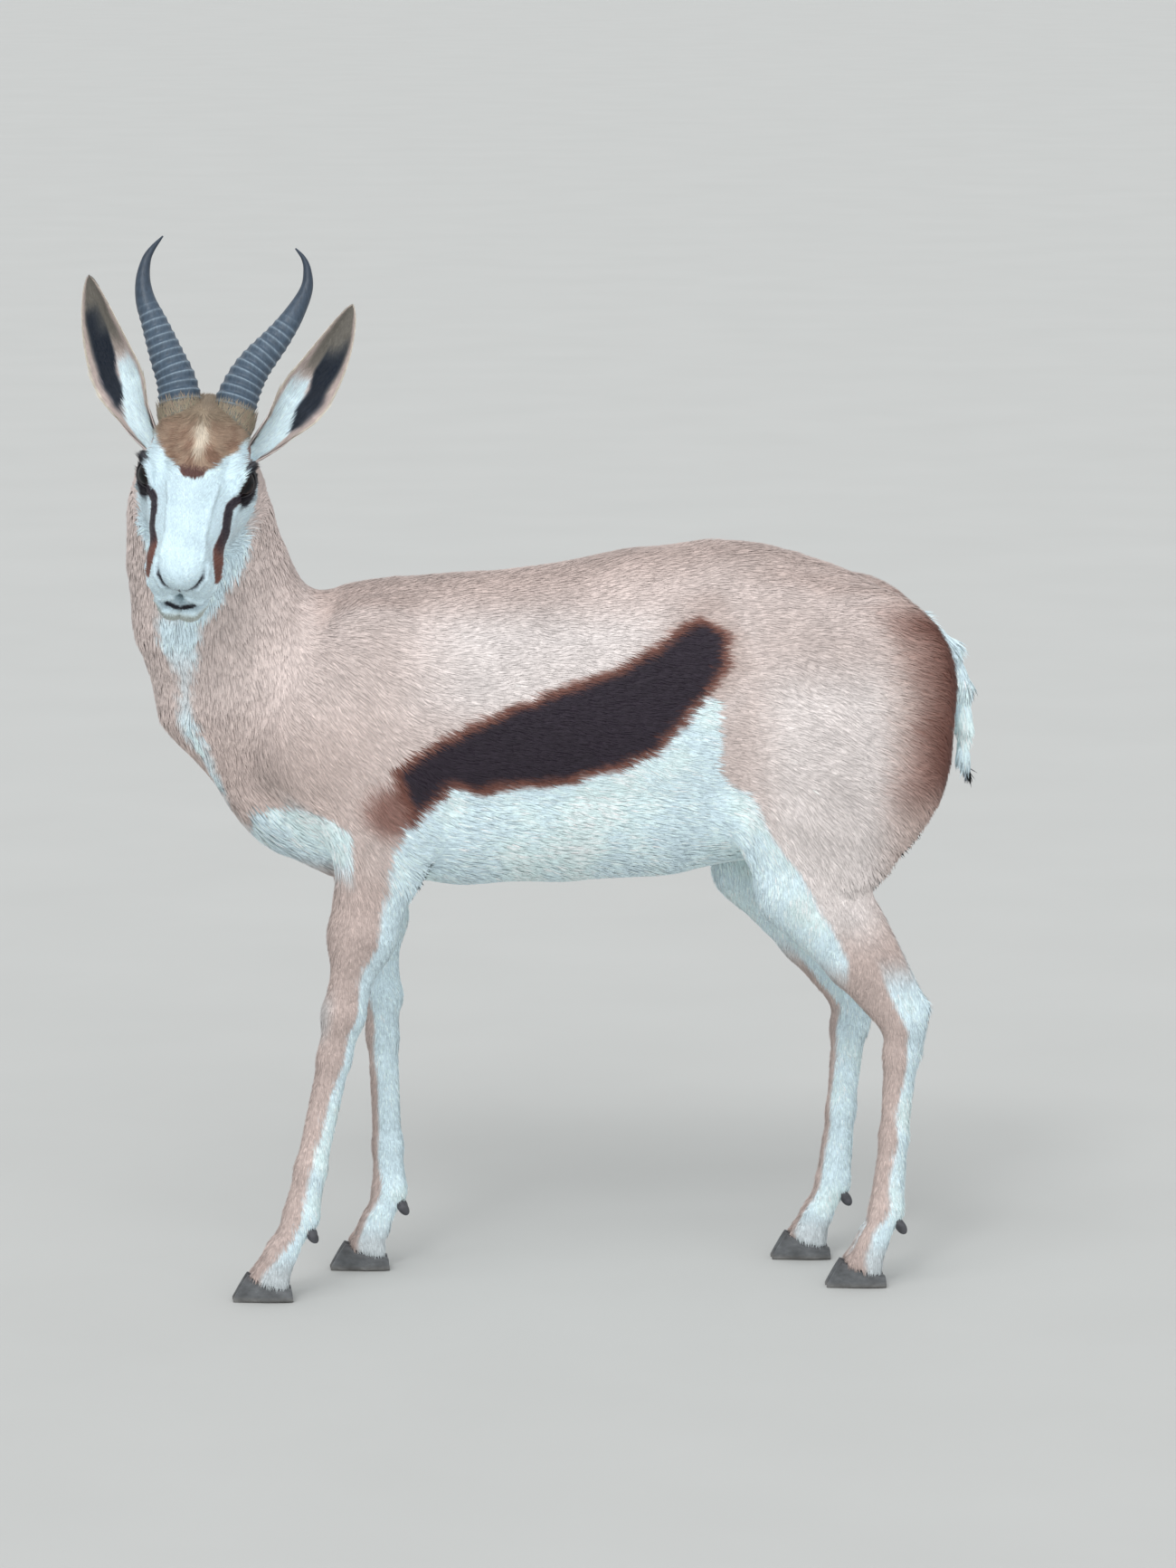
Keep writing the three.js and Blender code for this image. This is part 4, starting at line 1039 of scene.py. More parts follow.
skin_material = marked_material("skin_fur", 0.8, 260, 0.9, 1.06, 0.0008, (1, 1, 0.4), specular=0.2)
coat_material = marked_material("coat_hair", 0.62, 500, 0.92, 1.06, specular=0.25, sheen=0.12)
horn_material = marked_material("horn_keratin", 0.42, 420, 0.75, 1.15, 0.0007, (1, 1, 0.35), specular=0.45)
hoof_material = marked_material("hoof_keratin", 0.5, 300, 0.8, 1.15, 0.0005, (0.5, 1, 1), specular=0.4)
eye_material = marked_material("wet_eye", 0.05, 900, 0.9, 1.1, specular=0.22)
lid_material = marked_material("lid_skin", 0.4, 700, 0.8, 1.2, 0.0003, specular=0.5)


# Swept shapes

def swept_faces(rings, sides, closed=False):
    """Faces of a tube of rings, as triangles, with a fan over each end of an open one."""
    faces = []
    ring = np.arange(sides)
    following = np.roll(ring, -1)
    for r in range(rings if closed else rings - 1):
        a, b = r * sides, (r + 1) % rings * sides
        faces.append(np.stack([a + ring, a + following, b + following], axis=-1))
        faces.append(np.stack([a + ring, b + following, b + ring], axis=-1))
    if not closed:
        start, end = rings * sides, rings * sides + 1
        last = (rings - 1) * sides
        faces.append(np.stack([following, ring, np.full(sides, start)], axis=-1))
        faces.append(np.stack([last + ring, last + following, np.full(sides, end)], axis=-1))
    return np.concatenate(faces)


def with_ends(rings):
    """The points of rings of an open tube, followed by the middle of its first and last ring."""
    rings = np.asarray(rings)
    return np.concatenate([rings.reshape(-1, 3), [rings[0].mean(0)], [rings[-1].mean(0)]])


def smooth_path(knots, count, samples=400):
    """Points evenly spaced along a smooth curve through the knots, and its directions there."""
    knots = np.asarray(knots, float)
    padded = np.vstack([2 * knots[0] - knots[1], knots, 2 * knots[-1] - knots[-2]])
    place = np.linspace(0, len(knots) - 1, samples)
    i = np.minimum(place.astype(int), len(knots) - 2)
    t = (place - i)[:, None]
    p0, p1, p2, p3 = (padded[i + n] for n in range(4))
    fine = 0.5 * (2 * p1 + (p2 - p0) * t + (2 * p0 - 5 * p1 + 4 * p2 - p3) * t ** 2
                  + (3 * p1 - p0 - 3 * p2 + p3) * t ** 3)
    run = np.concatenate([[0], np.cumsum(np.linalg.norm(np.diff(fine, axis=0), axis=1))])
    at = np.linspace(0, run[-1], count)
    path = np.stack([np.interp(at, run, fine[:, n]) for n in range(3)], axis=-1)
    return path, unit(np.gradient(path, axis=0))


# Horns

HORN_BASE_RADIUS = 25.0
HORN_RINGS = 12
HORN_STATIONS = 300
HORN_PATHS = {
    "left": [(-50, 24, 16), (-86, 32, 38), (-112, 43, 53), (-142, 65, 71), (-165, 79, 85), (-188, 88, 98),
             (-203, 87, 110), (-211, 82, 119), (-216, 73, 127)],
    "right": [(-50, 19, 20), (-86, 31, 45), (-108, 44, 60), (-136, 61, 80), (-154, 72, 92), (-170, 77, 105),
              (-185, 76, 118), (-194, 71, 127), (-202, 61, 139)],
}


def horn_frame(name, stations):
    """Shares of a horn's length, with its middle line, its directions and its radius at each."""
    _, mirror = side_of(name)
    path, along = smooth_path(HORN_PATHS[name] * mirror, stations)
    t = np.linspace(0, 1, stations)
    across = unit(np.cross(np.array([0.6, 0, 0.8]), along))
    front = np.cross(along, across)
    radius = HORN_BASE_RADIUS * (1 - t) ** 0.92 * mix(0.98, 1.1, np.sin(math.pi * t)) + 0.8
    return t, path, along, across, front, radius


def horn(name):
    sides = 44
    t, path, _, across, front, radius = horn_frame(name, HORN_STATIONS)
    ringed = ramp(t, 0.08, 0.13) * ramp(t, 0.66, 0.56)
    ring_place = (t - 0.1) / 0.5 * HORN_RINGS
    phase = ring_place - np.floor(ring_place)
    ridge = np.where(phase < 0.62, phase / 0.62, (1 - phase) / 0.38) ** 1.4
    angle = circle(sides)
    strength = 0.62 + 0.38 * np.sin(angle)
    swell = 1 + ringed[:, None] * (ridge[:, None] * 0.11 * strength[None] - 0.045)
    flute = 1 + 0.012 * np.sin(angle * 9)[None] * ringed[:, None]
    size = (radius[:, None] * swell * flute)[:, :, None]
    rings = (path[:, None] + across[:, None] * (np.cos(angle)[None, :, None] * 0.94 * size)
             + front[:, None] * (np.sin(angle)[None, :, None] * size))
    points = to_body(with_ends(rings))
    faces = outward(points, swept_faces(HORN_STATIONS, sides))
    piece = mesh_object("horn_" + name + "_ringed", points, faces, horn_material)
    base = mix(HORN_LOW, HORN_HIGH, ramp(t, 0.5, 0.9)[:, None])
    base = paint(base, HORN_EDGE, ringed * ridge ** 3 * 0.85)
    base = paint(base, OLIVE * 0.75, ramp(t, 0.15, 0.08) * 0.8)
    colours = np.repeat(base, sides, axis=0)
    add_colours(piece, linear(np.vstack([colours, base[:1], base[-1:]])))
    finish_piece(piece, "horn", "horn_" + name)


def horn_hair(name, count):
    """Hair of the forehead that climbs the foot of a horn."""
    _, path, along, across, front, radius = horn_frame(name, HORN_STATIONS)
    at = (random.uniform(0.03, 0.105, count) * HORN_STATIONS).astype(int)
    angle = random.uniform(0, 2 * math.pi, count)
    normals = across[at] * np.cos(angle)[:, None] + front[at] * np.sin(angle)[:, None]
    lie = unit(along[at] + np.cross(normals, along[at]) * random.normal(size=count)[:, None] * 0.3)
    lift = random.uniform(1.5, 3.5, count)
    roots = to_body(path[at] + normals * (radius[at] * 0.97)[:, None])
    return dict(
        roots=roots, normals=normals @ HEAD_AXES.T, lie=lie @ HEAD_AXES.T,
        length=random.uniform(8, 15, count), width=random.uniform(0.8, 1.5, count), lift=lift,
        droop=lift * 0.4,
        colours=mix(OLIVE, mix(BROWN, CREAM, 0.3), random.uniform(0, 0.6, count)[:, None]),
    )


# Claws and dewclaws

HOOF_GREY = np.array([88.0, 90, 92])
HOOF_PALE = np.array([134.0, 130, 124])
HOOF_DARK = np.array([62.0, 60, 62])
DEWCLAW_GREY = np.array([70.0, 70, 74])


def claw(leg, toe):
    joints, side, _ = LEGS[leg]
    outer = toe * side > 0
    front = joints[3][0] - HOOF_LENGTH * TOE_SHARE
    stations, sides = 56, 36
    t = np.linspace(0, 1, stations) ** 1.15
    x = front + HOOF_LENGTH * t
    heel = ramp(t, 1.02, 0.86)
    half = HOOF_WIDTH / 2 * np.minimum(1, 0.16 + 1.25 * t ** 0.75) * mix(0.8, 1, heel)
    height = (3 + 40 * np.sin(np.minimum(1, t * 1.5) * math.pi / 2)) * mix(0.72, 1, heel)
    inward = side * (-1 if outer else 1)
    middle = joints[3][1] + toe * (HOOF_WIDTH / 2 + CLAW_GAP) + inward * 3.5 * (1 - t) ** 2
    slant = (HOOF_TOE_HEIGHT - HOOF_HEEL_HEIGHT) / (HOOF_LENGTH * CORONET_RUN_SHARE)
    toe_x = joints[3][0] - HOOF_LENGTH * CORONET_TOE_SHARE
    top = np.minimum(height, HOOF_TOE_HEIGHT - (x - toe_x) * slant + 2.5)
    angle = circle(sides)
    square = np.sign(np.sin(angle)) * np.abs(np.sin(angle)) ** 0.55
    wide = np.sign(np.cos(angle)) * np.abs(np.cos(angle)) ** 0.6
    up = np.clip(square, -1, 1) * 0.5 + 0.5
    growth = 1 + 0.012 * np.sin(x / 2.1)
    rings = np.stack([
        np.repeat(x[:, None], sides, 1) - 0.1 * (up[None] * top[:, None]),
        middle[:, None] - toe * wide[None] * (half * growth)[:, None] * (1 - 0.12 * up[None]),
        up[None] * top[:, None],
    ], axis=-1)
    points = with_ends(rings)
    points[:, 2] = np.maximum(points[:, 2], 0)
    faces = outward(points, swept_faces(stations, sides))
    place = f"{leg}_{'outer' if outer else 'inner'}"
    piece = mesh_object(f"claw_{place}", points, faces, hoof_material)
    z = points[:, 2]
    colour = np.tile(HOOF_GREY, (len(points), 1))
    colour = paint(colour, HOOF_PALE, ramp(z, 8, 1) * 0.5)
    colour = paint(colour, HOOF_DARK, ramp(z, 18, 28) * 0.6)
    colour = colour * (1 + 0.1 * ripple(points, 9, 13))[:, None]
    add_colours(piece, linear(colour))
    finish_piece(piece, "hoof", "hoof_" + place)


def dewclaw(leg, toe):
    joints, side, _ = LEGS[leg]
    fetlock, pastern = joints[2], joints[3]
    centre = np.array([mix(fetlock[0], pastern[0], 0.36) + 20, fetlock[1] + toe * 10,
                       mix(fetlock[2], pastern[2], 0.36)])
    stations, sides = 20, 18
    t = np.linspace(0, 1, stations)
    along = -6 + 17 * t
    size = np.sqrt(np.clip(1 - (2 * t - 0.9) ** 2 / 1.25, 0.02, 1))
    angle = circle(sides)
    rings = np.stack([
        centre[0] + along[:, None] * 0.55 + 5.5 * size[:, None] * np.cos(angle)[None] * 0.84,
        centre[1] + 4.6 * size[:, None] * np.sin(angle)[None],
        centre[2] - along[:, None] * 0.84 + 5.5 * size[:, None] * np.cos(angle)[None] * 0.55,
    ], axis=-1)
    points = with_ends(rings)
    place = f"{leg}_{'outer' if toe * side > 0 else 'inner'}"
    piece = mesh_object(f"dewclaw_{place}_horn", points, outward(points, swept_faces(stations, sides)),
                        hoof_material)
    add_colours(piece, linear(DEWCLAW_GREY * (1 + 0.1 * ripple(points, 6, 14))[:, None]))
    finish_piece(piece, "hoof", "dewclaw_" + place)


# Eyes: a ball with a raised cornea, a brown iris and a wide pupil, under dark lids with lashes

EYE_WHITE = np.array([46.0, 40, 42])
IRIS = np.array([27.0, 19, 18])
PUPIL = np.array([5.0, 6, 9])


def eye(name):
    rings, sides = 72, 96
    _, mirror = side_of(name)
    out, ahead, above = EYE_OUT * mirror, EYE_LONG * mirror, EYE_UP * mirror
    polar = np.linspace(0.004, math.pi - 0.004, rings)
    angle = circle(sides)
    cornea = 1.1 * ramp(polar, 0.95, 0.15)
    radius = (EYE_RADIUS - 0.6 + cornea)[:, None, None]
    direction = (out * np.cos(polar)[:, None, None] + np.sin(polar)[:, None, None]
                 * (ahead * np.cos(angle)[None, :, None] + above * np.sin(angle)[None, :, None]))
    points = to_body(with_ends(EYE_AT * mirror + direction * radius))
    piece = mesh_object("eyeball_" + name, points, outward(points, swept_faces(rings, sides)), eye_material)
    spread = np.sin(polar)[:, None] * np.ones(sides)
    iris = np.hypot(spread * np.cos(angle)[None], spread * np.sin(angle)[None] * 1.05)
    pupil = np.hypot(spread * np.cos(angle)[None] / 0.5, spread * np.sin(angle)[None] / 0.27)
    behind = (polar > math.pi / 2)[:, None] * 9.0
    iris, pupil = (iris + behind).ravel(), (pupil + behind).ravel()
    streak = 1 + 0.14 * np.sin(np.tile(angle * 37, rings)) + 0.1 * np.sin(np.tile(angle * 61 + 1, rings))
    colour = np.tile(EYE_WHITE, (rings * sides, 1))
    colour = paint(colour, IRIS, ramp(iris, 0.86, 0.8)) * streak[:, None]
    colour = paint(colour, PUPIL * 1.5, ramp(iris, 0.66, 0.8) * ramp(iris, 0.92, 0.84))
    colour = paint(colour, PUPIL, ramp(pupil, 1.08, 0.94))
    add_colours(piece, linear(np.vstack([colour, colour[:1], colour[-1:]])))
    finish_piece(piece, "eye", "eye_" + name)


def lid_rim(name):
    """The bare dark edge of the lids, lying on the eye all round its opening."""
    _, mirror = side_of(name)
    steps, sides = 96, 10
    turn = circle(steps)
    along = ALMOND_HALF * np.cos(turn)
    top, bottom = almond_edges(along)
    across = np.where(np.sin(turn) >= 0, top, bottom)
    off_axis = np.hypot(along, across)
    out = np.sqrt(np.maximum((EYE_RADIUS + 0.3) ** 2 - off_axis ** 2, 0))
    local = along[:, None] * EYE_LONG + across[:, None] * EYE_UP + out[:, None] * EYE_OUT
    local = (local + np.roll(local, 1, axis=0) + np.roll(local, -1, axis=0)) / 3
    away = unit(local)
    forward = unit(np.roll(local, -1, axis=0) - np.roll(local, 1, axis=0))
    beside = np.cross(away, forward)
    thick = 1.2 + 0.5 * ramp(np.sin(turn), -0.2, 0.8)
    angle = circle(sides)
    rings = (local[:, None] + away[:, None] * (np.cos(angle)[None, :, None] * thick[:, None, None] * 0.8)
             + beside[:, None] * (np.sin(angle)[None, :, None] * thick[:, None, None] * 1.5))
    points = to_body((rings.reshape(-1, 3) + EYE_AT) * mirror)
    faces = outward(points, swept_faces(steps, sides, True))
    piece = mesh_object("lid_rim_" + name, points, faces, lid_material)
    add_colours(piece, linear(np.tile(BLACK_SKIN, (len(points), 1))))
    finish_piece(piece, "hoof")


LASHES = 46
LASH_RADIUS = 0.22


def lashes(name):
    """Dark lashes along the upper lid: thin three-sided tapered tubes that bend, all in one piece."""
    _, mirror = side_of(name)
    share = np.linspace(-0.92, 0.8, LASHES)
    along = ALMOND_HALF * share
    top, _ = almond_edges(along)
    out = np.sqrt(np.maximum((EYE_RADIUS + 1.0) ** 2 - along ** 2 - top ** 2, 1))
    start = along[:, None] * EYE_LONG + top[:, None] * EYE_UP + out[:, None] * EYE_OUT
    way = unit(unit(start) * 0.9 + EYE_UP * 0.35 + EYE_LONG * share[:, None] * 0.3
               + random.normal(size=(LASHES, 3)) * 0.08)
    lengths = ((7.5 - 2.5 * np.abs(share)) * random.uniform(0.75, 1.1, LASHES))[:, None]
    starts = to_body((start + EYE_AT) * mirror)
    ways = (way * mirror) @ HEAD_AXES.T
    bend = ((EYE_UP * 0.25 - EYE_OUT * 0.1) * mirror) @ HEAD_AXES.T
    aside = unit(np.cross(ways, bend + 1e-3))
    other = np.cross(ways, aside)
    rings = (0, 0.3, 0.6, 0.85)
    points = []
    for ring in rings:
        centre = starts + ways * lengths * ring + bend * lengths * ring ** 2
        for a in circle(3):
            away = aside * math.cos(a) + other * math.sin(a)
            points.append(centre + away * LASH_RADIUS * (1 - 0.75 * ring))
    points.append(starts + (ways + bend) * lengths)
    points, faces, _ = many_spikes(points, len(rings))
    piece = mesh_object("lashes_" + name, points, faces, lid_material)
    add_colours(piece, linear(np.tile(BLACK_SKIN, (len(points), 1))))
    finish_piece(piece, "hoof")


# Ears: a leaf rolled into a tube at its root and open above, furred on both faces

EAR_ROOT = (-48, 46, -12)
EAR_BENDS = {"left": (-98, 112, 34), "right": (-98, -104, 34)}
EAR_TIPS = {"left": (-176, 136, 91), "right": (-157, -130, 114)}
EAR_HALF_WIDTH = 32.0
EAR_ROOT_SHARE = 0.4


def ear_point(name, s, turn, inset):
    """Places on an ear, s along it and turn across it from -1 to 1, drawn in from its back."""
    side, mirror = side_of(name)
    root, bend, tip = EAR_ROOT * mirror, np.array(EAR_BENDS[name]), np.array(EAR_TIPS[name])
    s, turn = np.asarray(s, float)[..., None], np.asarray(turn, float)[..., None]
    centre = root * (1 - s) ** 2 + bend * 2 * s * (1 - s) + tip * s ** 2
    axis = unit((bend - root) * 2 * (1 - s) + (tip - bend) * 2 * s)
    facing = np.array([0.72, side * 0.1, 0.68])
    facing = unit(facing - axis * (axis @ facing)[..., None])
    across = np.cross(facing, axis)
    swell = mix(EAR_ROOT_SHARE, 1, np.sin(np.minimum(1, s * 2) * math.pi / 2))
    taper = np.sin(math.pi * np.minimum(1, 0.2 + 0.8 * s ** 0.9)) ** 0.62
    half = np.where(s < 0.5, EAR_HALF_WIDTH * swell, EAR_HALF_WIDTH * taper + 1.5)
    roll = mix(2.2, 1.05, np.clip(s * 2.6, 0, 1))
    radius = half / np.minimum(roll, 1.5)
    thin = inset * mix(2.4, 1.3, s) * (1 - 0.4 * turn * turn)
    return (centre + across * ((radius - thin) * np.sin(roll * turn))
            + facing * (radius * 0.6 - (radius - thin) * np.cos(roll * turn)))


def ear_colour(name, s, turn, inside, points):
    """Tan behind and on the rims; inside white at the root, with a dark wedge nearer the outer rim."""
    edge = np.abs(turn)
    outer = -turn * side_of(name)[0]
    wander = ripple(points, 18, 15) * 0.06
    back = np.tile(mix(TAN, TAN_LIGHT, 0.3), (len(s), 1))
    back = paint(back, TAN_DEEP, ramp(s, 0.8, 1.0) * 0.6)
    tan = mix(TAN, TAN_DEEP, 0.3)
    cup = np.tile(tan, (len(s), 1))
    tip = mix(mix(OLIVE, TAN_DEEP, 0.3), EAR_DARK, 0.35)
    cup = paint(cup, tip, ramp(s + wander, 0.5, 0.75) * ramp(edge + wander, 0.9, 0.55))
    inner_edge = curve(s, (0.2, 0.55), (0.35, 0.1), (0.6, -0.2), (0.85, -0.2))
    strip = ramp(inner_edge - outer + wander, -0.1, 0.05) * ramp(outer + wander, -0.86, -0.66)
    cup = paint(cup, WHITE, strip * ramp(s + wander, 0.6, 0.45))
    wedge = ramp(outer - inner_edge + wander, -0.04, 0.1) * ramp(outer + wander, 0.8, 0.5)
    cup = paint(cup, EAR_DARK, wedge * ramp(s + wander, 0.24, 0.34) * ramp(s + wander, 0.88, 0.66))
    cup = paint(cup, CREAM, ramp(edge, 0.86, 0.95) * ramp(s, 0.15, 0.3) * 0.85)
    return np.where(inside[:, None], cup, back)


def ear(name):
    """The ear's leaf: a thin closed sheet with its own colours on both faces."""
    rows, columns = 70, 44
    s, turn = np.meshgrid(np.linspace(0, 1, rows), np.linspace(-1, 1, columns), indexing="ij")
    sheets = [ear_point(name, s, turn, 0.12), ear_point(name, s, turn, 0.88)]
    points = np.concatenate([sheet.reshape(-1, 3) for sheet in sheets])
    at = np.arange(rows * columns).reshape(rows, columns)
    a, b, c, d = (part.ravel() for part in (at[:-1, :-1], at[:-1, 1:], at[1:, 1:], at[1:, :-1]))
    quads = [np.stack([a, b, c, d], axis=-1), np.stack([d, c, b, a], axis=-1) + rows * columns]
    border = np.concatenate([at[0, :-1], at[:-1, -1], at[-1, :0:-1], at[:0:-1, 0]])
    after = np.roll(border, -1)
    quads.append(np.stack([after, border, border + rows * columns, after + rows * columns], axis=-1))
    faces = np.concatenate(quads)
    faces = np.concatenate([faces[:, [0, 1, 2]], faces[:, [0, 2, 3]]])
    placed = to_body(points)
    piece = mesh_object("ear_leaf_" + name, placed, outward(placed, faces), skin_material)
    inside = np.repeat([False, True], rows * columns)
    colours = ear_colour(name, np.tile(s.ravel(), 2), np.tile(turn.ravel(), 2), inside, points)
    add_colours(piece, linear(colours))
    finish_piece(piece, "coat_tan", "ear_" + name)


def ear_tufts(name, count):
    """The hair on both faces of an ear."""
    s = random.uniform(0.02, 0.99, count)
    inside = random.random(count) < 0.5
    turn = random.uniform(-1, 1, count) * np.where(inside, 1, 0.9)
    inset = np.where(inside, 0.9, 0.1)[:, None]
    step = 0.01
    points = ear_point(name, s, turn, inset)
    ahead = ear_point(name, np.minimum(s + step, 1), turn, inset) - ear_point(name, s - step, turn, inset)
    aside = ear_point(name, s, turn + step, inset) - ear_point(name, s, turn - step, inset)
    normals = unit(np.cross(ahead, aside))
    other = ear_point(name, s, turn, 1 - inset) - points
    flip = (normals * other).sum(1) > 0
    normals[flip] *= -1
    lie = unit(ahead) + unit(aside) * (turn * np.where(inside, 0.4, 0.12))[:, None]
    lie = unit(lie - normals * (lie * normals).sum(1, keepdims=True))
    rim = ramp(np.abs(turn), 0.8, 1.0)
    length = mix(5.5, 8.0, rim) * np.where(inside & (s < 0.5), 1.7, 1) * random.uniform(0.7, 1.2, count)
    lift = np.where(inside, 2.0 + rim * 0.6, 0.8)
    return dict(
        roots=to_body(points), normals=normals @ HEAD_AXES.T, lie=lie @ HEAD_AXES.T, length=length,
        width=0.95 * random.uniform(0.7, 1.2, count), lift=lift, droop=lift * 0.3,
        colours=ear_colour(name, s, turn, inside, points) * random.uniform(0.9, 1.06, count)[:, None],
    )


# Everything in place

VIEW_YAW, VIEW_PITCH = math.radians(6), math.radians(9.08)
VIEW_AIM = np.array([59.7, 0, 527.0])
VIEW_DISTANCE = 6481
LENS, SENSOR_WIDTH, CLIP_END = 142.8, 36, 400
camera_data = bpy.data.cameras.new("view")
camera_data.lens = LENS
camera_data.sensor_width = SENSOR_WIDTH
camera_data.clip_end = CLIP_END
camera = bpy.data.objects.new("view", camera_data)
bpy.context.scene.collection.objects.link(camera)
level = math.cos(VIEW_PITCH)
view_back = np.array([-math.sin(VIEW_YAW) * level, -math.cos(VIEW_YAW) * level, math.sin(VIEW_PITCH)])
camera.location = metres(VIEW_AIM + view_back * VIEW_DISTANCE)
camera.rotation_euler = (math.pi / 2 - VIEW_PITCH, 0, -VIEW_YAW)
bpy.context.scene.camera = camera

skin = mesh_object("skin", skin_points, skin_faces, skin_material)
skin_normals = np.empty(len(skin_points) * 3, np.float32)
skin.data.vertices.foreach_get("normal", skin_normals)
skin_normals = skin_normals.reshape(-1, 3)
# The skin's markings are painted 5% darker: painted shade under the coat.
add_colours(skin, linear(marking(skin_points, skin_normals) * 0.95))
finish_piece(skin, "coat_tan", "torso", "neck", "head", "tail", *["leg_" + leg for leg in LEGS])

for name in ("left", "right"):
    eye(name)
    lid_rim(name)
    lashes(name)
    ear(name)
    horn(name)
for leg in LEGS:
    for toe in (-1, 1):
        claw(leg, toe)
        dewclaw(leg, toe)

COAT_TUFTS = 262000
roots, normals = scatter_roots(COAT_TUFTS)
regions = body_regions(roots, normals)
count = len(roots)
lie = hair_lie(roots, normals)
swirl = ripple(roots, 26, 16) * 0.16 + ripple(roots, 9, 17) * 0.1 + random.normal(size=count) * 0.09
lie = unit(lie + np.cross(normals, lie) * swirl[:, None])
u, v, w = to_head(roots).T
face_hair = 1 - ramp(u, 10, 60) * 0.4
crown_hair = 1 + ramp(w, 14, 24) * (ramp(u, 30, 10) * 1.2 + ramp(u, -24, -40) * 0.8)
lines = np.minimum.reduce([cut(u, v, w) for cut in (nostril_cut, lip_cut, philtrum_cut)])
face_length = 5.0 * face_hair * crown_hair * mix(0.35, 1.0, ramp(lines, 0.5, 7))
length = by_region(regions, 11.5, belly=16, neck=13, rump=22, tail=18, legs=7, head=face_length)
length *= random.uniform(0.7, 1.25, count)
width = by_region(regions, 1.7, belly=2.2, neck=1.9, rump=1.9, tail=2.2, legs=1.15, head=0.85)
width *= random.uniform(0.75, 1.3, count)
depth = coat_depth(roots[:, 0], roots[:, 2], regions["head"])
lift = depth * random.uniform(0.6, 1.05, count)
lift += by_region(regions, 0.3, rump=2.5, tail=-1.5, neck=0.2, head=0.1, legs=0.2)
colours = marking(roots, normals) * (1 + random.normal(size=count) * 0.045)[:, None]
tufts = dict(roots=roots, normals=normals, lie=lie, length=length, width=width, lift=lift,
             droop=lift * 0.35, colours=np.clip(colours, 0, 255))


def coat_piece(name, slot, part, rings, centre, axis, up):
    """One piece of coat from the given tufts."""
    colours = linear(part.pop("colours"))
    points, faces, shading, sides = tuft_mesh(**part, rings=rings)
    piece = mesh_object(name, points, faces, coat_material)
    # Painted shade and light: each tuft is painted darker at its root ring and a little lighter towards its
    # tip.
    root_shade = np.linspace(0.92, 1.03, sides)[None, :, None]
    add_colours(piece, (colours[:, None, :] * root_shade).reshape(-1, 3))
    add_bake_map(piece, unwrap(part["roots"], centre, axis, up), sides)
    piece.data.normals_split_custom_set_from_vertices(shading)
    return finish_piece(piece, slot)


x, y, z = roots.T
long_hair = (regions["neck"] + regions["belly"] + regions["rump"] + regions["tail"]) > 0.5
on_head = (regions["head"] > 0.5) & ~long_hair
on_legs = (z < 400) & ~on_head & ~long_hair
on_trunk = ~(long_hair | on_head | on_legs)
on_neck = long_hair & (regions["neck"] > 0.5)
on_belly = long_hair & (regions["belly"] > 0.5)
on_rump = long_hair & ~on_neck & ~on_belly

# Each piece of coat: its name, slot, tufts and their rings, and its unwrap's middle, axis and start
ALONG, UPRIGHT = (1, 0, 0), (0, 0, 1)
NECK_AXIS = (-0.3, -0.15, 1)
NECK_MIDDLE, RUMP_MIDDLE, TRUNK_MIDDLE = (-330, -20, 750), (380, 0, 620), (0, 0, 590)
groups = [
    ("coat_face", "coat_white", on_head, SHORT_RINGS, HEAD_AT, HEAD_AXES[:, 0], HEAD_AXES[:, 2]),
    ("coat_neck", "coat_tan", on_neck, LONG_RINGS, NECK_MIDDLE, NECK_AXIS, ALONG),
    ("coat_belly_front", "coat_white", on_belly & (x < 0), LONG_RINGS, TRUNK_MIDDLE, ALONG, UPRIGHT),
    ("coat_belly_back", "coat_white", on_belly & (x >= 0), LONG_RINGS, TRUNK_MIDDLE, ALONG, UPRIGHT),
    ("coat_rump", "coat_white", on_rump, LONG_RINGS, RUMP_MIDDLE, UPRIGHT, (-1, 0, 0)),
]
for half, start, end in (("front", -500, -20), ("back", -20, 500)):
    for side_name, side in (("left", -1), ("right", 1)):
        here = on_trunk & (x >= start) & (x < end) & (y * side >= 0)
        name = f"coat_flank_{side_name}_{half}"
        groups.append((name, "coat_tan", here, SHORT_RINGS, TRUNK_MIDDLE, ALONG, UPRIGHT))
for leg, (joints, side, leg_depth) in LEGS.items():
    here = on_legs & ((x < FORE_END) == (leg_depth > 0)) & (y * side >= 0)
    groups.append((f"coat_{leg}", "coat_white", here, SHORT_RINGS, joints[1], UPRIGHT, (-1, 0, 0)))
for name, slot, here, rings, centre, axis, up in groups:
    part = {key: value[here] for key, value in tufts.items()}
    coat_piece(name, slot, part, rings, centre, axis, up)
EAR_TUFTS = 11000
HORN_TUFTS = 900
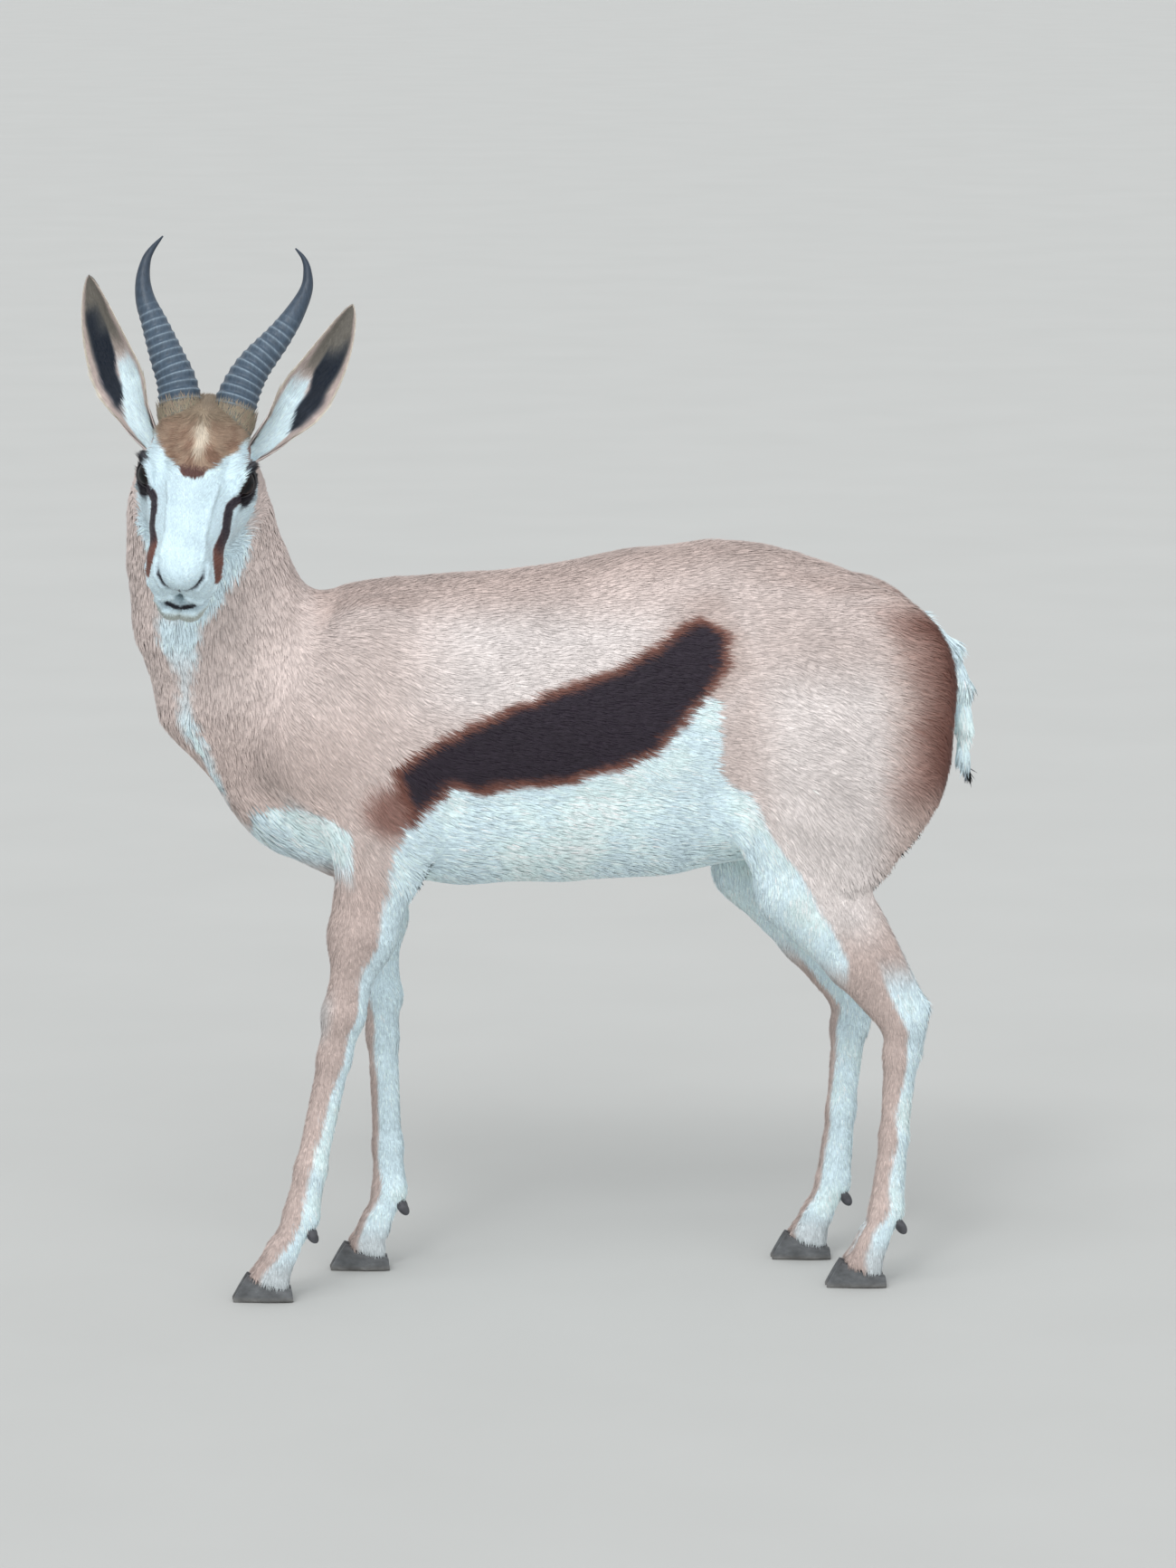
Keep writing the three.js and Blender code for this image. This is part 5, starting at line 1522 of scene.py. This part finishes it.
for name in ("left", "right"):
    ear_axis = HEAD_AXES @ (np.array([-0.8, 0.5, 0.4]) * side_of(name)[1])
    horn_axis = HEAD_AXES @ np.array([-0.8, 0, 0.6])
    for place, hair, axis in (("ear", ear_tufts(name, EAR_TUFTS), ear_axis),
                              ("horn_foot", horn_hair(name, HORN_TUFTS), horn_axis)):
        middle = hair["roots"].mean(0)
        coat_piece(f"coat_{place}_{name}", "coat_tan", hair, SHORT_RINGS, middle, axis, HEAD_AXES[:, 0])


# Floor and light

def stage_floor():
    """A plain pale floor that reaches past the view, in metres."""
    mesh = bpy.data.meshes.new("floor")
    reach = 90
    mesh.from_pydata([(-reach, -20, 0), (reach, -20, 0), (reach, reach * 2, 0), (-reach, reach * 2, 0)], [],
                     [(0, 1, 2, 3)])
    made, nodes, links, shader = new_material("pale_floor", 0.85, specular=0.1)
    tones = nodes.new("ShaderNodeValToRGB")
    tones.color_ramp.elements[0].color = (0.52, 0.52, 0.505, 1)
    tones.color_ramp.elements[1].color = (0.56, 0.56, 0.545, 1)
    links.new(noise(nodes, links, 3).outputs["Fac"], tones.inputs["Fac"])
    links.new(tones.outputs["Color"], shader.inputs["Base Color"])
    mesh.materials.append(made)
    floor = bpy.data.objects.new("floor", mesh)
    bpy.context.scene.collection.objects.link(floor)


def soft_sun(name, strength, angle, tilt, turn, colour):
    data = bpy.data.lights.new(name, "SUN")
    data.energy = strength
    data.angle = math.radians(angle)
    data.color = colour
    light = bpy.data.objects.new(name, data)
    light.rotation_euler = (math.radians(tilt), 0, math.radians(turn))
    bpy.context.scene.collection.objects.link(light)


stage_floor()
soft_sun("key", 0.8, 40, 36, -28, (0.98, 0.99, 1.0))
soft_sun("small_key", 0.45, 12, 48, -22, (0.98, 0.99, 1.0))
soft_sun("fill", 1.35, 70, 76, 6, (0.96, 0.98, 1.0))
world = bpy.data.worlds.new("studio")
world.use_nodes = True
world.node_tree.nodes["Background"].inputs["Color"].default_value = (0.95, 0.98, 1.0, 1)
world.node_tree.nodes["Background"].inputs["Strength"].default_value = 0.75
bpy.context.scene.world = world
bpy.context.scene.view_settings.view_transform = "Standard"
